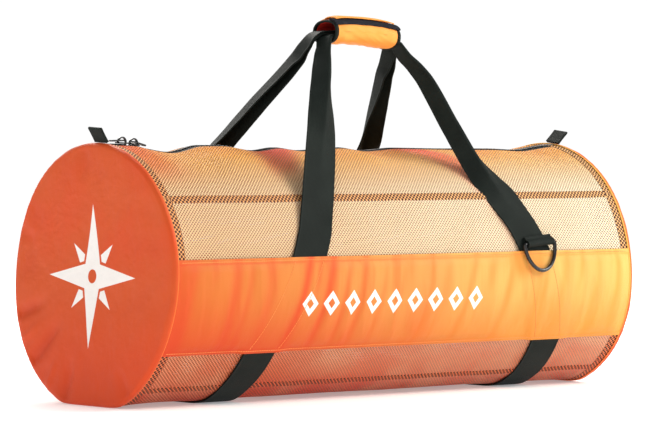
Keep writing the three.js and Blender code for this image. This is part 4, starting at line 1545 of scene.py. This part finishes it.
@dataclass
class Grip:
    """Padded wrap that holds both straps together, with bound mouths, closure strip and flap."""

    form: BagForm
    palette: Palette
    length: float = 0.108
    width: float = 0.046
    height: float = 0.029
    wall: float = 0.0022
    forward: float = 0.045
    shift: float = 0.004
    rise: float = 0.460
    tilt: float = 3.0
    arch_height: float = 0.003
    rim: float = 0.005
    rim_wall: float = 0.001
    closure: float = 0.0022
    flap: float = 0.0014
    girth: float = 0.118
    quarter: float = 0.034
    frame: Matrix = field(init=False)

    def __post_init__(self) -> None:
        """Works out the wrap's frame, whose X runs along it."""
        place = Vector((self.shift, self.form.middle_y - self.forward, self.rise))
        self.frame = Matrix.Translation(place) @ Matrix.Rotation(math.radians(self.tilt), 4, "Y")

    @property
    def end(self) -> float:
        """Place of a mouth from the wrap's middle."""
        return self.length / 2

    @property
    def cloth_end(self) -> float:
        """Where the cloth meets a rim."""
        return self.end - self.rim - self.form.clearance

    def arch(self, x: float) -> float:
        """How far the wrap's line lies below its middle."""
        return -self.arch_height * (2 * x / self.length) ** 2

    def at(self, x: float, angle: float, lift: float) -> Vector:
        """Point round the wrap, in the bag's frame."""
        c, s = math.cos(math.radians(angle)), math.sin(math.radians(angle))
        half_width, half_height = self.width / 2 + lift, self.height / 2 + lift
        local = Vector((
            x,
            -half_width * math.copysign(abs(c) ** 0.84, c),
            half_height * math.copysign(abs(s) ** 0.84, s) + self.arch(x),
        ))
        return self.frame @ local

    def folds(self, x: float, angle: float, seed: float) -> float:
        """Slanting wrinkles of the cloth, between 0 and 1."""
        slant = x * 60 + angle * 0.035
        broad = abs(ripple(Vector((slant, angle * 0.012, 0.3)), seed))
        fine = 0.5 + 0.5 * ripple(Vector((slant * 2.6, angle * 0.03, 2.0)), seed)
        return 0.75 * (1 - broad) + 0.25 * fine

    def cover(self) -> bpy.types.Object:
        """The padded cloth tube."""
        end = self.cloth_end
        size = (2 * end, self.girth)

        def place(u: float, v: float) -> Vector:
            """Point of the cover."""
            x, angle = end * (2 * u - 1), 360 * v
            tight = smoothstep(end - abs(x), 0.0, 0.012)
            under = smoothstep(math.cos(math.radians(angle - 100)), 0.35, 0.75)
            lift = (0.0022 * (self.folds(x, angle, 1.0) - 0.55) + 0.0008) * tight * (1 - under)
            return self.at(x, angle, lift)

        cloth = lay("handle_wrap_cover", (64, 80), size, place, closes=True)
        cloth.data.materials.append(self.palette.wrap)
        cloth.data.materials.append(self.palette.lining)
        apply(cloth, "SOLIDIFY", thickness=self.wall, offset=-1.0, material_offset=1, material_offset_rim=1)
        smooth(cloth, 60)
        return dress(cloth, self.palette.wrap, Slot.WRAP, nodes=["handle_wrap"])

    def binding(self, end: End) -> bpy.types.Object:
        """Black tape folded over one mouth."""
        middle = end.value * (self.end - self.rim / 2)
        low, high = -self.wall, self.rim_wall

        def place(u: float, v: float) -> Vector:
            """Point of the binding, round the mouth and round its own rounded section."""
            turn = math.tau * v
            c, s = math.cos(turn), math.sin(turn)
            x = middle + (self.rim / 2) * math.copysign(abs(c) ** 0.55, c)
            lift = (low + high) / 2 + (high - low) / 2 * math.copysign(abs(s) ** 0.7, s)
            return self.at(x, 360 * u, lift + 0.0002 * ripple(Vector((0, u * 40, end.value))))

        name = f"wrap_rim_{end.word}"
        tape = lay(name + "_binding", (96, 20), (0.12, 0.012), place, closes=True)
        face_outward(tape)
        smooth(tape, 60)
        return dress(tape, self.palette.binding, Slot.WEBBING, nodes=[name])

    def strip(self, node: str, angles: tuple[float, float], end: float, outer: Callable[[float, float], float],
              wall: float, material: bpy.types.Material, slot: Slot) -> bpy.types.Object:
        """Lays one strip along the wrap.

        Args:
            node: the node that it replaces.
            angles: where it starts and stops round the wrap.
            end: how far it reaches from the middle.
            outer: height of its outer face at a place and an angle.
            wall: its thickness.
            material: its material.
            slot: the record's slot.

        Returns:
            The strip.
        """
        low, high = angles
        size = (2 * end, self.quarter * (high - low) / 90)

        def place(u: float, v: float) -> Vector:
            """Point of the strip."""
            x, angle = end * (2 * u - 1), low + (high - low) * v
            return self.at(x, angle, outer(x, angle))

        cloth = lay(node + "_strip", (72, 22), size, place)
        thicken(cloth, wall, -1.0, wall * 0.3)
        return dress(cloth, material, slot, nodes=[node])

    def build(self) -> None:
        """Makes the whole grip."""
        seat = self.rim_wall + self.form.clearance
        self.cover()
        for end in End:
            self.binding(end)
        low, high = 30, 75

        def closure_face(_: float, angle: float) -> float:
            """Height of the closure strip's outer face, lower at both edges."""
            return seat + self.closure - 0.0005 * (1 - smoothstep(min(angle - low, high - angle), 0, 8))

        self.strip("wrap_closure", (low, high), self.end, closure_face, self.closure, self.palette.closure,
                   Slot.WEBBING)

        def flap_face(x: float, angle: float) -> float:
            """Height of the flap's outer face: it steps down behind the closure strip."""
            past = min(max((angle - 90) / 15, 0), 1)
            tight = smoothstep(self.cloth_end - abs(x), 0.0, 0.01)
            wave = 0.0012 * self.folds(x, angle, 7.0) * tight
            return seat + (self.closure + self.form.clearance) * (1 - past) + self.flap + wave

        self.strip("wrap_flap", (60, 150), self.cloth_end, flap_face, self.flap, self.palette.wrap, Slot.WRAP)


@dataclass
class CarryStraps:
    """Wide webbing that runs round the bag and up into the grip, front and back."""

    form: BagForm
    palette: Palette
    grip: Grip
    seat: float = -0.0024
    apart: float = 0.006
    mouth_reach: float = 0.0038
    mouth_bend: float = 0.006
    fold_start: float = 0.002
    step: float = 0.0042
    fold_rows: tuple[LegRow, ...] = (
        LegRow(0, 0, 0, 0, 0), LegRow(0.14, 0, 6, 2, 1), LegRow(0.25, 2, 28, 22, 14), LegRow(0.35, 5, 46, 56, 34),
        LegRow(0.55, 22, 62, 66, 52), LegRow(0.72, 42, 68, 72, 66), LegRow(0.88, 64, 78, 78, 78),
        LegRow(0.96, 84, 86, 87, 87), LegRow(1, 90, 90, 90, 90),
    )
    bow_rows: tuple[LegRow, ...] = (
        LegRow(0, 0, 0, 0, 0), LegRow(0.3, 0, 0.02, 0, 0), LegRow(0.55, -0.06, 0.12, 0, -0.04),
        LegRow(0.78, -0.08, 0.25, -0.06, -0.04), LegRow(0.86, -0.05, 0.17, -0.05, 0), LegRow(0.93, 0, 0.03, 0, 0),
        LegRow(1, 0, 0, 0, 0),
    )

    @property
    def pitch(self) -> float:
        """Distance between the two folded straps in the grip."""
        half = self.form.webbing_width * 0.06 * math.cos(math.radians(27))
        return half + self.form.webbing + self.form.clearance

    def out(self, face: Face) -> float:
        """How far a strap stands out of the mouth before it turns down."""
        return self.mouth_reach + (self.pitch if face is Face.BACK else 0.0)

    def fold_line(self, face: Face) -> float:
        """Distance of a strap's fold from the wrap's middle, across it."""
        return -face.value * (self.form.webbing_width / 4 + self.apart)

    def corner(self, face: Face, end: End) -> Vector:
        """Where a strap turns out of the wrap."""
        seat = self.seat - face.value * self.pitch / 2
        g = self.grip
        x = end.value * (g.end + self.out(face))
        return g.frame @ Vector((x, self.fold_line(face), seat + g.arch(end.value * g.end)))

    def leave_angle(self, face: Face, end: End) -> float:
        """Angle on the bag's own side at which a strap leaves it."""
        f, corner = self.form, self.corner(face, end)
        ahead, above = -face.value * (corner.y - f.middle_y), corner.z - f.centre_height
        radius = f.radius + f.clearance + f.webbing / 2
        return math.degrees(math.atan2(above, ahead) - math.acos(radius / math.hypot(ahead, above)))

    def on_bag(self, face: Face, end: End, angle: float) -> StrapStation:
        """Station where the strap lies on the bag."""
        f = self.form
        round_angle = face.turned(angle)
        middle = f.strap_middle(end, round_angle)
        lift = f.clearance + f.webbing / 2
        here = f.skin(middle, round_angle, lift)
        inward = (f.skin(middle, round_angle, lift - 0.01) - here).normalized()
        return StrapStation(here, inward, 0.0, 1.0)

    def leg(self, face: Face, end: End) -> list[StrapStation]:
        """Stations from the bag's underside up to the mouth of the grip."""
        f, g = self.form, self.grip
        leave = self.leave_angle(face, end)
        stations = [self.on_bag(face, end, -90 + (leave + 90) * k / 60) for k in range(61)]
        foot, corner = stations[-1].point, self.corner(face, end)
        along = g.frame.to_3x3() @ Vector((-end.value, 0, 0))
        climb = corner - foot
        length = climb.length
        climb.normalize()
        turn = self.mouth_bend + self.out(face) - self.mouth_reach
        outward = Vector((end.value, 0, 0)) - climb * (end.value * climb.x)
        outward.normalize()
        angle = math.radians(leave)
        into = Vector((0, face.value * math.cos(angle), -math.sin(angle)))
        in_wrap = Vector((0, face.value, 0))
        column = LegRow.column(end, face)
        last = 1 - turn / length

        def station(share: float, point: Vector) -> StrapStation:
            """Station at a share of the leg's way."""
            bow = outward * (read(self.bow_rows, column, share) * f.webbing_width)
            return StrapStation(point + bow, into.lerp(in_wrap, share), read(self.fold_rows, column, share / last),
                                1 - smoothstep(share, 0, 0.12))

        for k in range(1, 61):
            share = last * k / 61
            stations.append(station(share, foot + climb * (share * length)))
        start, stop = corner - climb * turn, corner + along * turn
        for k in range(13):
            t = k / 12
            point = start * (1 - t) ** 2 + corner * (2 * t * (1 - t)) + stop * t * t
            stations.append(station(last + (1 - last) * t, point))
        return stations

    def stations(self, face: Face) -> list[StrapStation]:
        """Stations of one whole strap, from the underside on the left to the underside on the right."""
        g = self.grip
        inside = []
        for k in range(1, 16):
            x = g.end * (2 * k / 16 - 1)
            seat = self.seat - face.value * self.pitch / 2
            place = g.frame @ Vector((x, self.fold_line(face), seat + g.arch(x)))
            inside.append(StrapStation(place, Vector((0, face.value, 0)), 90, 0))
        return [*self.leg(face, End.LEFT), *inside, *reversed(self.leg(face, End.RIGHT))]

    def even(self, stations: Sequence[StrapStation], step: float) -> tuple[list[StrapStation], float]:
        """The same strap in even steps, and its length."""
        along = marks([station.point for station in stations])
        count, found = round(along[-1] / step), []
        for k, t in spots(along, [along[-1] * i / count for i in range(count + 1)]):
            a, b = stations[k], stations[k + 1]
            found.append(StrapStation(a.point.lerp(b.point, t), a.into.lerp(b.into, t),
                                      a.fold + (b.fold - a.fold) * t, a.level + (b.level - a.level) * t))
        return found, along[-1]

    def section(self, fold: float, place: float) -> tuple[float, float]:
        """Distance across and into the fold, of a place on the webbing's width."""
        turn, way = math.radians(fold), abs(place)
        if turn < 1e-4:
            return place, 0.0
        start = min(way, self.fold_start)
        bent = turn * start / self.fold_start
        across = self.fold_start / turn * math.sin(bent) + max(way - start, 0) * math.cos(turn)
        into = self.fold_start / turn * (1 - math.cos(bent)) + max(way - start, 0) * math.sin(turn)
        return math.copysign(across, place), into

    def strap(self, face: Face) -> bpy.types.Object:
        """Lays one strap."""
        f = self.form
        stations, length = self.even(self.stations(face), self.step)
        frames: list[tuple[Vector, Vector]] = []
        for i, here in enumerate(stations):
            before, after = stations[max(i - 1, 0)].point, stations[min(i + 1, len(stations) - 1)].point
            forward = (after - before).normalized()
            depth = (here.into - forward * here.into.dot(forward)).normalized()
            across = forward.cross(depth).normalized()
            along_bag = Vector((math.copysign(1 / max(abs(across.x), 0.5), across.x), 0, 0))
            frames.append((across.lerp(along_bag, here.level), depth))
        rows = len(stations) - 1
        columns = 30

        def place(u: float, v: float) -> Vector:
            """Point of the webbing."""
            i = round(u * rows)
            here, (across, depth) = stations[i], frames[i]
            wide, into = self.section(here.fold, (v - 0.5) * f.webbing_width)
            free = smoothstep(1 - here.level, 0.2, 1) * (1 - smoothstep(here.fold, 60, 85))
            wave = 0.0006 * free * ripple(Vector((u * 60, v * 2, face.value)))
            return here.point + across * wide + depth * (into + wave)

        name = f"carry_strap_{face.word}"
        webbing = lay(name, (rows, columns), (length, f.webbing_width), place)
        thicken(webbing, f.webbing, 0.0, 0.0005)
        under = "strap_under_left" if face is Face.FRONT else "strap_under_right"
        return dress(webbing, self.palette.webbing, Slot.WEBBING, nodes=[f"handle_strap_{face.word}", under])

    def build(self) -> None:
        """Makes both straps."""
        for face in Face:
            self.strap(face)


@dataclass
class TopZipper:
    """Zipper along the top: tapes, a toothed coil, two sliders with pulls, and a webbing tab at each end."""

    form: BagForm
    palette: Palette
    half_coil: float = 0.003
    coil_height: float = 0.0026
    tape_wall: float = 0.0009
    sewn_under: float = 0.0026
    tooth_pitch: float = 0.0019
    tooth_waist: float = 0.62
    tooth_flank: float = 0.86
    slider_place: float = 0.048
    slider_length: float = 0.014
    slider_apart: float = 0.018
    tab_width: float = 0.025
    tab_height: float = 0.021
    tab_wall: float = 0.0034
    leans: dict[End, float] = field(default_factory=lambda: {End.LEFT: 33.0, End.RIGHT: 45.0})

    def angle(self, y: float) -> float:
        """Angle round the section at a distance from the top line, positive to the back."""
        return 90 + math.degrees(y / self.form.radius)

    def frame(self, x: float, lift: float) -> Matrix:
        """Frame on the top line: X along it and Z away from the bag."""
        f = self.form
        along = f.skin(x + 0.001, 90) - f.skin(x - 0.001, 90)
        out = f.skin(x, 90, 0.001) - f.skin(x, 90)
        made = basis(along, out, f.skin(x, 90))
        return made @ Matrix.Translation((0, 0, lift))

    def tape(self, face: Face) -> bpy.types.Object:
        """One woven tape beside the coil."""
        f = self.form
        near, far = self.half_coil + f.clearance, f.tape_width / 2 - f.clearance
        low, high = (-far, -near) if face is Face.FRONT else (near, far)

        def place(u: float, v: float) -> Vector:
            """Point of the tape."""
            return f.skin(f.hem_end * (2 * u - 1), self.angle(low + (high - low) * v), -f.clearance)

        name = f"zipper_tape_{face.word}"
        size = (2 * f.hem_end, far - near)
        cloth = lay(name + "_cloth", (150, 6), size, place)
        thicken(cloth, self.tape_wall)
        size[1] + self.sewn_under
        return dress(cloth, self.palette.tape, Slot.ZIPPER, nodes=[name])

    def tooth(self) -> bpy.types.Object:
        """One turn of the coil on both sides, with a waist where the halves meet."""
        deselect()
        bpy.ops.mesh.primitive_cube_add(size=1)
        tooth = bpy.context.object
        tooth.scale = (self.tooth_pitch * 0.62, 2 * self.half_coil, self.coil_height)
        bpy.ops.object.transform_apply(location=False, rotation=False, scale=True)
        bpy.ops.object.mode_set(mode="EDIT")
        bpy.ops.mesh.bisect(plane_co=(0, 0, 0), plane_no=(0, 1, 0))
        bpy.ops.object.mode_set(mode="OBJECT")
        for vertex in tooth.data.vertices:
            vertex.co.z *= self.tooth_waist if abs(vertex.co.y) < 1e-6 else self.tooth_flank
        apply(tooth, "BEVEL", width=0.0003, segments=1, limit_method="ANGLE", angle_limit=math.radians(40))
        return tooth

    def coil(self, name: str, start: float, stop: float) -> bpy.types.Object:
        """Closed coil between two places along the bag."""
        count = int((stop - start) / self.tooth_pitch)
        pitch = (stop - start) / count
        places = [self.frame(start + (k + 0.5) * pitch, 0) for k in range(count)]
        coil = Chain(self.tooth()).copies(name + "_teeth", places, 35)
        return dress(coil, self.palette.coil, Slot.ZIPPER, nodes=[name])

    def tab(self, end: End) -> bpy.types.Object:
        """Webbing folded double, leaning outward."""
        f = self.form
        lean = math.radians(self.leans[end])
        wall = self.tab_wall / 2 - 0.0001
        on_hem = max(self.coil_height / 2, f.clearance + f.cap_wall) + f.clearance
        seat = self.frame(end.value * f.hem_end, on_hem + self.tab_wall / 2 * math.sin(lean))
        seat = seat @ Matrix.Rotation(end.value * lean, 4, "Y")
        middle, top = self.tab_wall / 4 + 0.00005, self.tab_height - self.tab_wall / 2
        straight, bend = top, math.pi * middle
        total = 2 * straight + bend

        def place(u: float, v: float) -> Vector:
            """Point of the tab: up, over and down, and across its width."""
            way = u * total
            if way < straight:
                local = Vector((-middle, 0, way))
            elif way > straight + bend:
                local = Vector((middle, 0, total - way))
            else:
                turn = (way - straight) / middle
                local = Vector((-middle * math.cos(turn), 0, top + middle * math.sin(turn)))
            local.y = self.tab_width * (0.5 - v) * (1 - 0.03 * math.sin(math.pi * min(way, total - way) / straight))
            return seat @ local

        name = f"end_tab_{end.word}"
        webbing = lay(name + "_webbing", (56, 14), (total, self.tab_width), place)
        thicken(webbing, wall, 0.0, 0.0004)
        return dress(webbing, self.palette.narrow, Slot.WEBBING, nodes=[name])

    def build(self) -> None:
        """Makes the zipper and its tabs."""
        f = self.form
        for face in Face:
            self.tape(face)
        sliders = self.slider_place - f.length / 2
        post = (self.slider_length - self.slider_apart) / 2 - 0.002 - 3 * f.clearance
        self.coil("zipper_coil_left", -f.hem_end, sliders + post)
        self.coil("zipper_coil_right", sliders - post, f.hem_end)
        for end in End:
            side = end.word
            slider = refined(f"zipper_slider_{side}", f"slider_body_{side}", 0.00045)
            dress(slider, self.palette.metal, Slot.METAL, nodes=[f"zipper_slider_{side}"])
            pull = refined(f"zipper_pull_{side}", f"slider_pull_{side}", 0.0004)
            dress(pull, self.palette.metal, Slot.METAL, f"zipper_pull_{side}", [f"zipper_pull_{side}"])
            self.tab(end)


@dataclass
class RingMount:
    """D-ring that swings in a sewn webbing loop on the right strap."""

    form: BagForm
    palette: Palette
    sewing: Sewing
    ring_angle: float = 12.4
    place: float = 0.209
    turn: float = 5.0
    width: float = 0.058
    drop: float = 0.036
    wire: float = 0.005
    loop_wall: float = 0.0016
    loop_tail: float = 0.0095

    @property
    def bar_out(self) -> float:
        """Distance of the bar from the strap's face."""
        f = self.form
        return f.clearance + self.wire / 2 + 2 * f.clearance + self.loop_wall

    def seat(self) -> Matrix:
        """Frame on the strap: -Y points away from the bag."""
        f = self.form
        here = f.skin(self.place, self.ring_angle, f.clearance + f.webbing)
        return (Matrix.Translation(here) @ Matrix.Rotation(math.radians(-self.ring_angle), 4, "X")
                @ Matrix.Rotation(math.radians(-self.turn), 4, "Y"))

    def ring(self) -> bpy.types.Object:
        """Round wire bent to a D."""
        f = self.form
        reach = self.wire / 2
        start = f.radius + f.clearance + f.webbing + self.bar_out
        lift = 2 * f.clearance + f.webbing + 0.0012
        stop = f.radius + lift + f.clearance + reach + self.drop ** 2 / (4 * f.radius)
        inward = math.acos((start ** 2 + self.drop ** 2 - stop ** 2) / (2 * start * self.drop))
        frame = (self.seat() @ Matrix.Translation((0, -self.bar_out, 0))
                 @ Matrix.Rotation(math.pi / 2 - inward, 4, "X"))
        wide, bend = self.width / 2 - reach, 0.0035
        outline: list[Vector] = []
        for k in range(97):
            a = -math.pi * k / 96
            outline.append(Vector((wide * math.cos(a), 0, -0.001 + (self.drop - 0.001) * math.sin(a))))
        for side, first in ((-1, math.pi), (1, math.pi / 2)):
            for k in range(1, 9):
                a = first - math.pi / 2 * k / 9
                outline.append(Vector((side * (wide - bend) + bend * math.cos(a), 0, -bend + bend * math.sin(a))))
            if side < 0:
                outline += [Vector((-wide + bend + 2 * (wide - bend) * k / 24, 0, 0)) for k in range(25)]
        count = len(outline)

        def at(u: float, v: float) -> Vector:
            """Point of the wire."""
            i = round(u * count)
            here = outline[i % count]
            forward = (outline[(i + 1) % count] - outline[i - 1]).normalized()
            side = forward.cross(Vector((0, 1, 0)))
            spin = math.tau * v
            return frame @ (here + side * (reach * math.cos(spin)) + Vector((0, 1, 0)) * (reach * math.sin(spin)))

        wire = lay("d_ring_wire", (count, 20), (0.18, 0.0157), at, closes=True)
        face_outward(wire)
        smooth(wire, 60)
        return dress(wire, self.palette.metal, Slot.METAL, "d_ring", ["d_ring"])

    def loop(self) -> bpy.types.Object:
        """Webbing loop round the ring's bar, its two tails sewn to the strap."""
        f = self.form
        seat = self.seat()
        wall, centre = self.loop_wall, self.bar_out
        radius = self.wire / 2 + 2 * f.clearance + wall / 2
        width = self.width - 2 * self.wire - 0.002
        inner, outer = f.clearance + wall / 2, f.clearance + 1.5 * wall
        path: list[Vector] = [Vector((0, -inner, self.loop_tail * (1 - k / 6))) for k in range(6)]
        path += [Vector((0, -centre - radius * math.cos(a), radius * math.sin(a)))
                 for a in (math.pi + math.radians(250) * k / 30 for k in range(31))]
        last = path[-1]
        stop = Vector((0, -outer, self.loop_tail))
        middle = Vector((0, -outer - 0.0004, self.loop_tail * 0.62))
        path += [last * (1 - t) ** 2 + middle * (2 * t * (1 - t)) + stop * t * t for t in (k / 8 for k in range(1, 9))]
        length = marks(path)[-1]

        def at(u: float, v: float) -> Vector:
            """Point of the loop."""
            i = round(u * (len(path) - 1))
            return seat @ (path[i] + Vector((width * (0.5 - v), 0, 0)))

        webbing = lay("d_ring_webbing", (len(path) - 1, 18), (length, width), at)
        thicken(webbing, wall, 0.0, 0.0004)
        out = (seat.to_3x3() @ Vector((0, -1, 0))).normalized()
        face, height = -(outer + wall / 2 + 0.0001), self.loop_tail - 0.0018
        run = [(seat @ Vector((width * (k / 20 - 0.5) * 0.92, face, height)), out) for k in range(21)]
        self.sewing.rows("loop_stitches", [run], self.palette.black_thread, Slot.WEBBING)
        return dress(webbing, self.palette.loop, Slot.WEBBING, nodes=["d_ring_loop"])

    def build(self) -> None:
        """Makes the loop and the ring."""
        self.loop()
        self.ring()


def aim(thing: bpy.types.Object, way: Vector) -> None:
    """Turns a camera or a light to look along a direction."""
    thing.rotation_mode = "QUATERNION"
    thing.rotation_quaternion = way.to_track_quat("-Z", "Y")


class LampRow(NamedTuple):
    """One soft square light: its place, its size in metres, its power in watts and its colour."""

    name: str
    place: tuple[float, float, float]
    size: float
    power: float
    colour: Colour


@dataclass
class Studio:
    """White floor, soft light and the camera."""

    azimuth: float = -39.96
    elevation: float = 2.01
    distance: float = 4.58708
    target: Vector = field(default_factory=lambda: Vector((0, 0.00372, 0.160)))
    focal: float = 3572.18
    image: tuple[int, int] = (650, 427)
    target_pixel: tuple[float, float] = (331.87, 267.64)
    sky_light: float = 0.46
    sky_seen: float = 1.02
    bright_from: tuple[float, float] = (0.44, 0.19)
    lamps: tuple[LampRow, ...] = (
        LampRow("key", (2.4, -2.2, 2.3), 2.0, 158, (1.0, 0.97, 0.9)),
        LampRow("fill", (-3.0, -1.6, 1.6), 2.0, 24, (1.0, 0.96, 0.92)),
        LampRow("back", (0.6, 2.8, 2.6), 2.0, 120, (1.0, 0.97, 0.92)),
    )

    def camera(self) -> None:
        """Camera at the photograph's viewing angle."""
        data = bpy.data.cameras.new("camera")
        camera = link("camera", data)
        a, e = math.radians(self.azimuth), math.radians(self.elevation)
        back = Vector((math.sin(a) * math.cos(e), -math.cos(a) * math.cos(e), math.sin(e)))
        camera.location = self.target + back * self.distance
        aim(camera, -back)
        wide, high = self.image
        data.sensor_width = 36
        data.lens = 36 * self.focal / wide
        data.shift_x = -(self.target_pixel[0] - wide / 2) / wide
        data.shift_y = (self.target_pixel[1] - high / 2) / wide
        data.clip_start, data.clip_end = 0.1, 100
        bpy.context.scene.camera = camera

    def floor(self) -> None:
        """Wide pale floor that glows, less near the bag."""
        deselect()
        bpy.ops.mesh.primitive_plane_add(size=60)
        floor = bpy.context.object
        floor.name = "floor"
        paint = Paint("pale_floor")
        cloud = paint.noise(paint.place(), 3, 2)
        x, y, _ = paint.split(paint.place())
        along, across = x / self.bright_from[0], y / self.bright_from[1]
        away = (along * along + across * across).math("SQRT").ease(0.8, 2.0)
        # The floor glows, less near the bag, so that the bag's own shadow shows.
        glow = paint.mix(away, (0.45, 0.45, 0.45), (1.0, 1.0, 1.0))
        paint.surface(paint.mix(cloud * 0.2, (0.88, 0.88, 0.88), (0.86, 0.86, 0.86)), 0.9,
                      Emission_Color=glow, Emission_Strength=0.64)
        floor.data.materials.append(paint.material)

    def light(self, row: LampRow) -> None:
        """Adds a soft square light that looks at the bag."""
        data = bpy.data.lights.new(row.name, "AREA")
        data.size, data.energy, data.color = row.size, row.power, row.colour
        lamp = link(row.name, data)
        lamp.location = row.place
        aim(lamp, self.target - lamp.location)

    def sky(self) -> None:
        """White surroundings, brighter to the camera than to the bag."""
        world = bpy.data.worlds.new("studio")
        bpy.context.scene.world = world
        world.use_nodes = True
        tree = world.node_tree
        tree.nodes.clear()
        path = Wire(tree, add_node(tree, "ShaderNodeLightPath").outputs["Is Camera Ray"])
        strength = add_node(tree, "ShaderNodeMapRange", {}, {
            "Value": path, "To Min": self.sky_light, "To Max": self.sky_seen,
        })
        white = add_node(tree, "ShaderNodeBackground", {}, {
            "Color": (1.0, 1.0, 1.0), "Strength": Wire(tree, strength.outputs[0]),
        })
        add_node(tree, "ShaderNodeOutputWorld", {}, {"Surface": Wire(tree, white.outputs[0])})

    def build(self) -> None:
        """Sets up the studio."""
        self.camera()
        self.floor()
        self.sky()
        bpy.context.scene.view_settings.view_transform = "Standard"
        for row in self.lamps:
            self.light(row)


def main() -> None:
    """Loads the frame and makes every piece."""
    logging.basicConfig(level=logging.INFO, format="%(name)s: %(message)s")
    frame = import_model()
    NODES.update(frame["nodes"])
    low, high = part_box("end_cap_left")
    form = BagForm(middle_y=(low.y + high.y) / 2)
    LOG.info("middle of the body at y %.5f", form.middle_y)
    palette = Palette()
    sewing = Sewing(palette)
    grip = Grip(form, palette)
    Studio().build()
    MeshShell(form, palette).build()
    EndCaps(form, palette).build()
    SideBands(form, palette, sewing).build()
    CarryStraps(form, palette, grip).build()
    grip.build()
    TopZipper(form, palette).build()
    RingMount(form, palette, sewing).build()


if __name__ == "__main__":
    main()
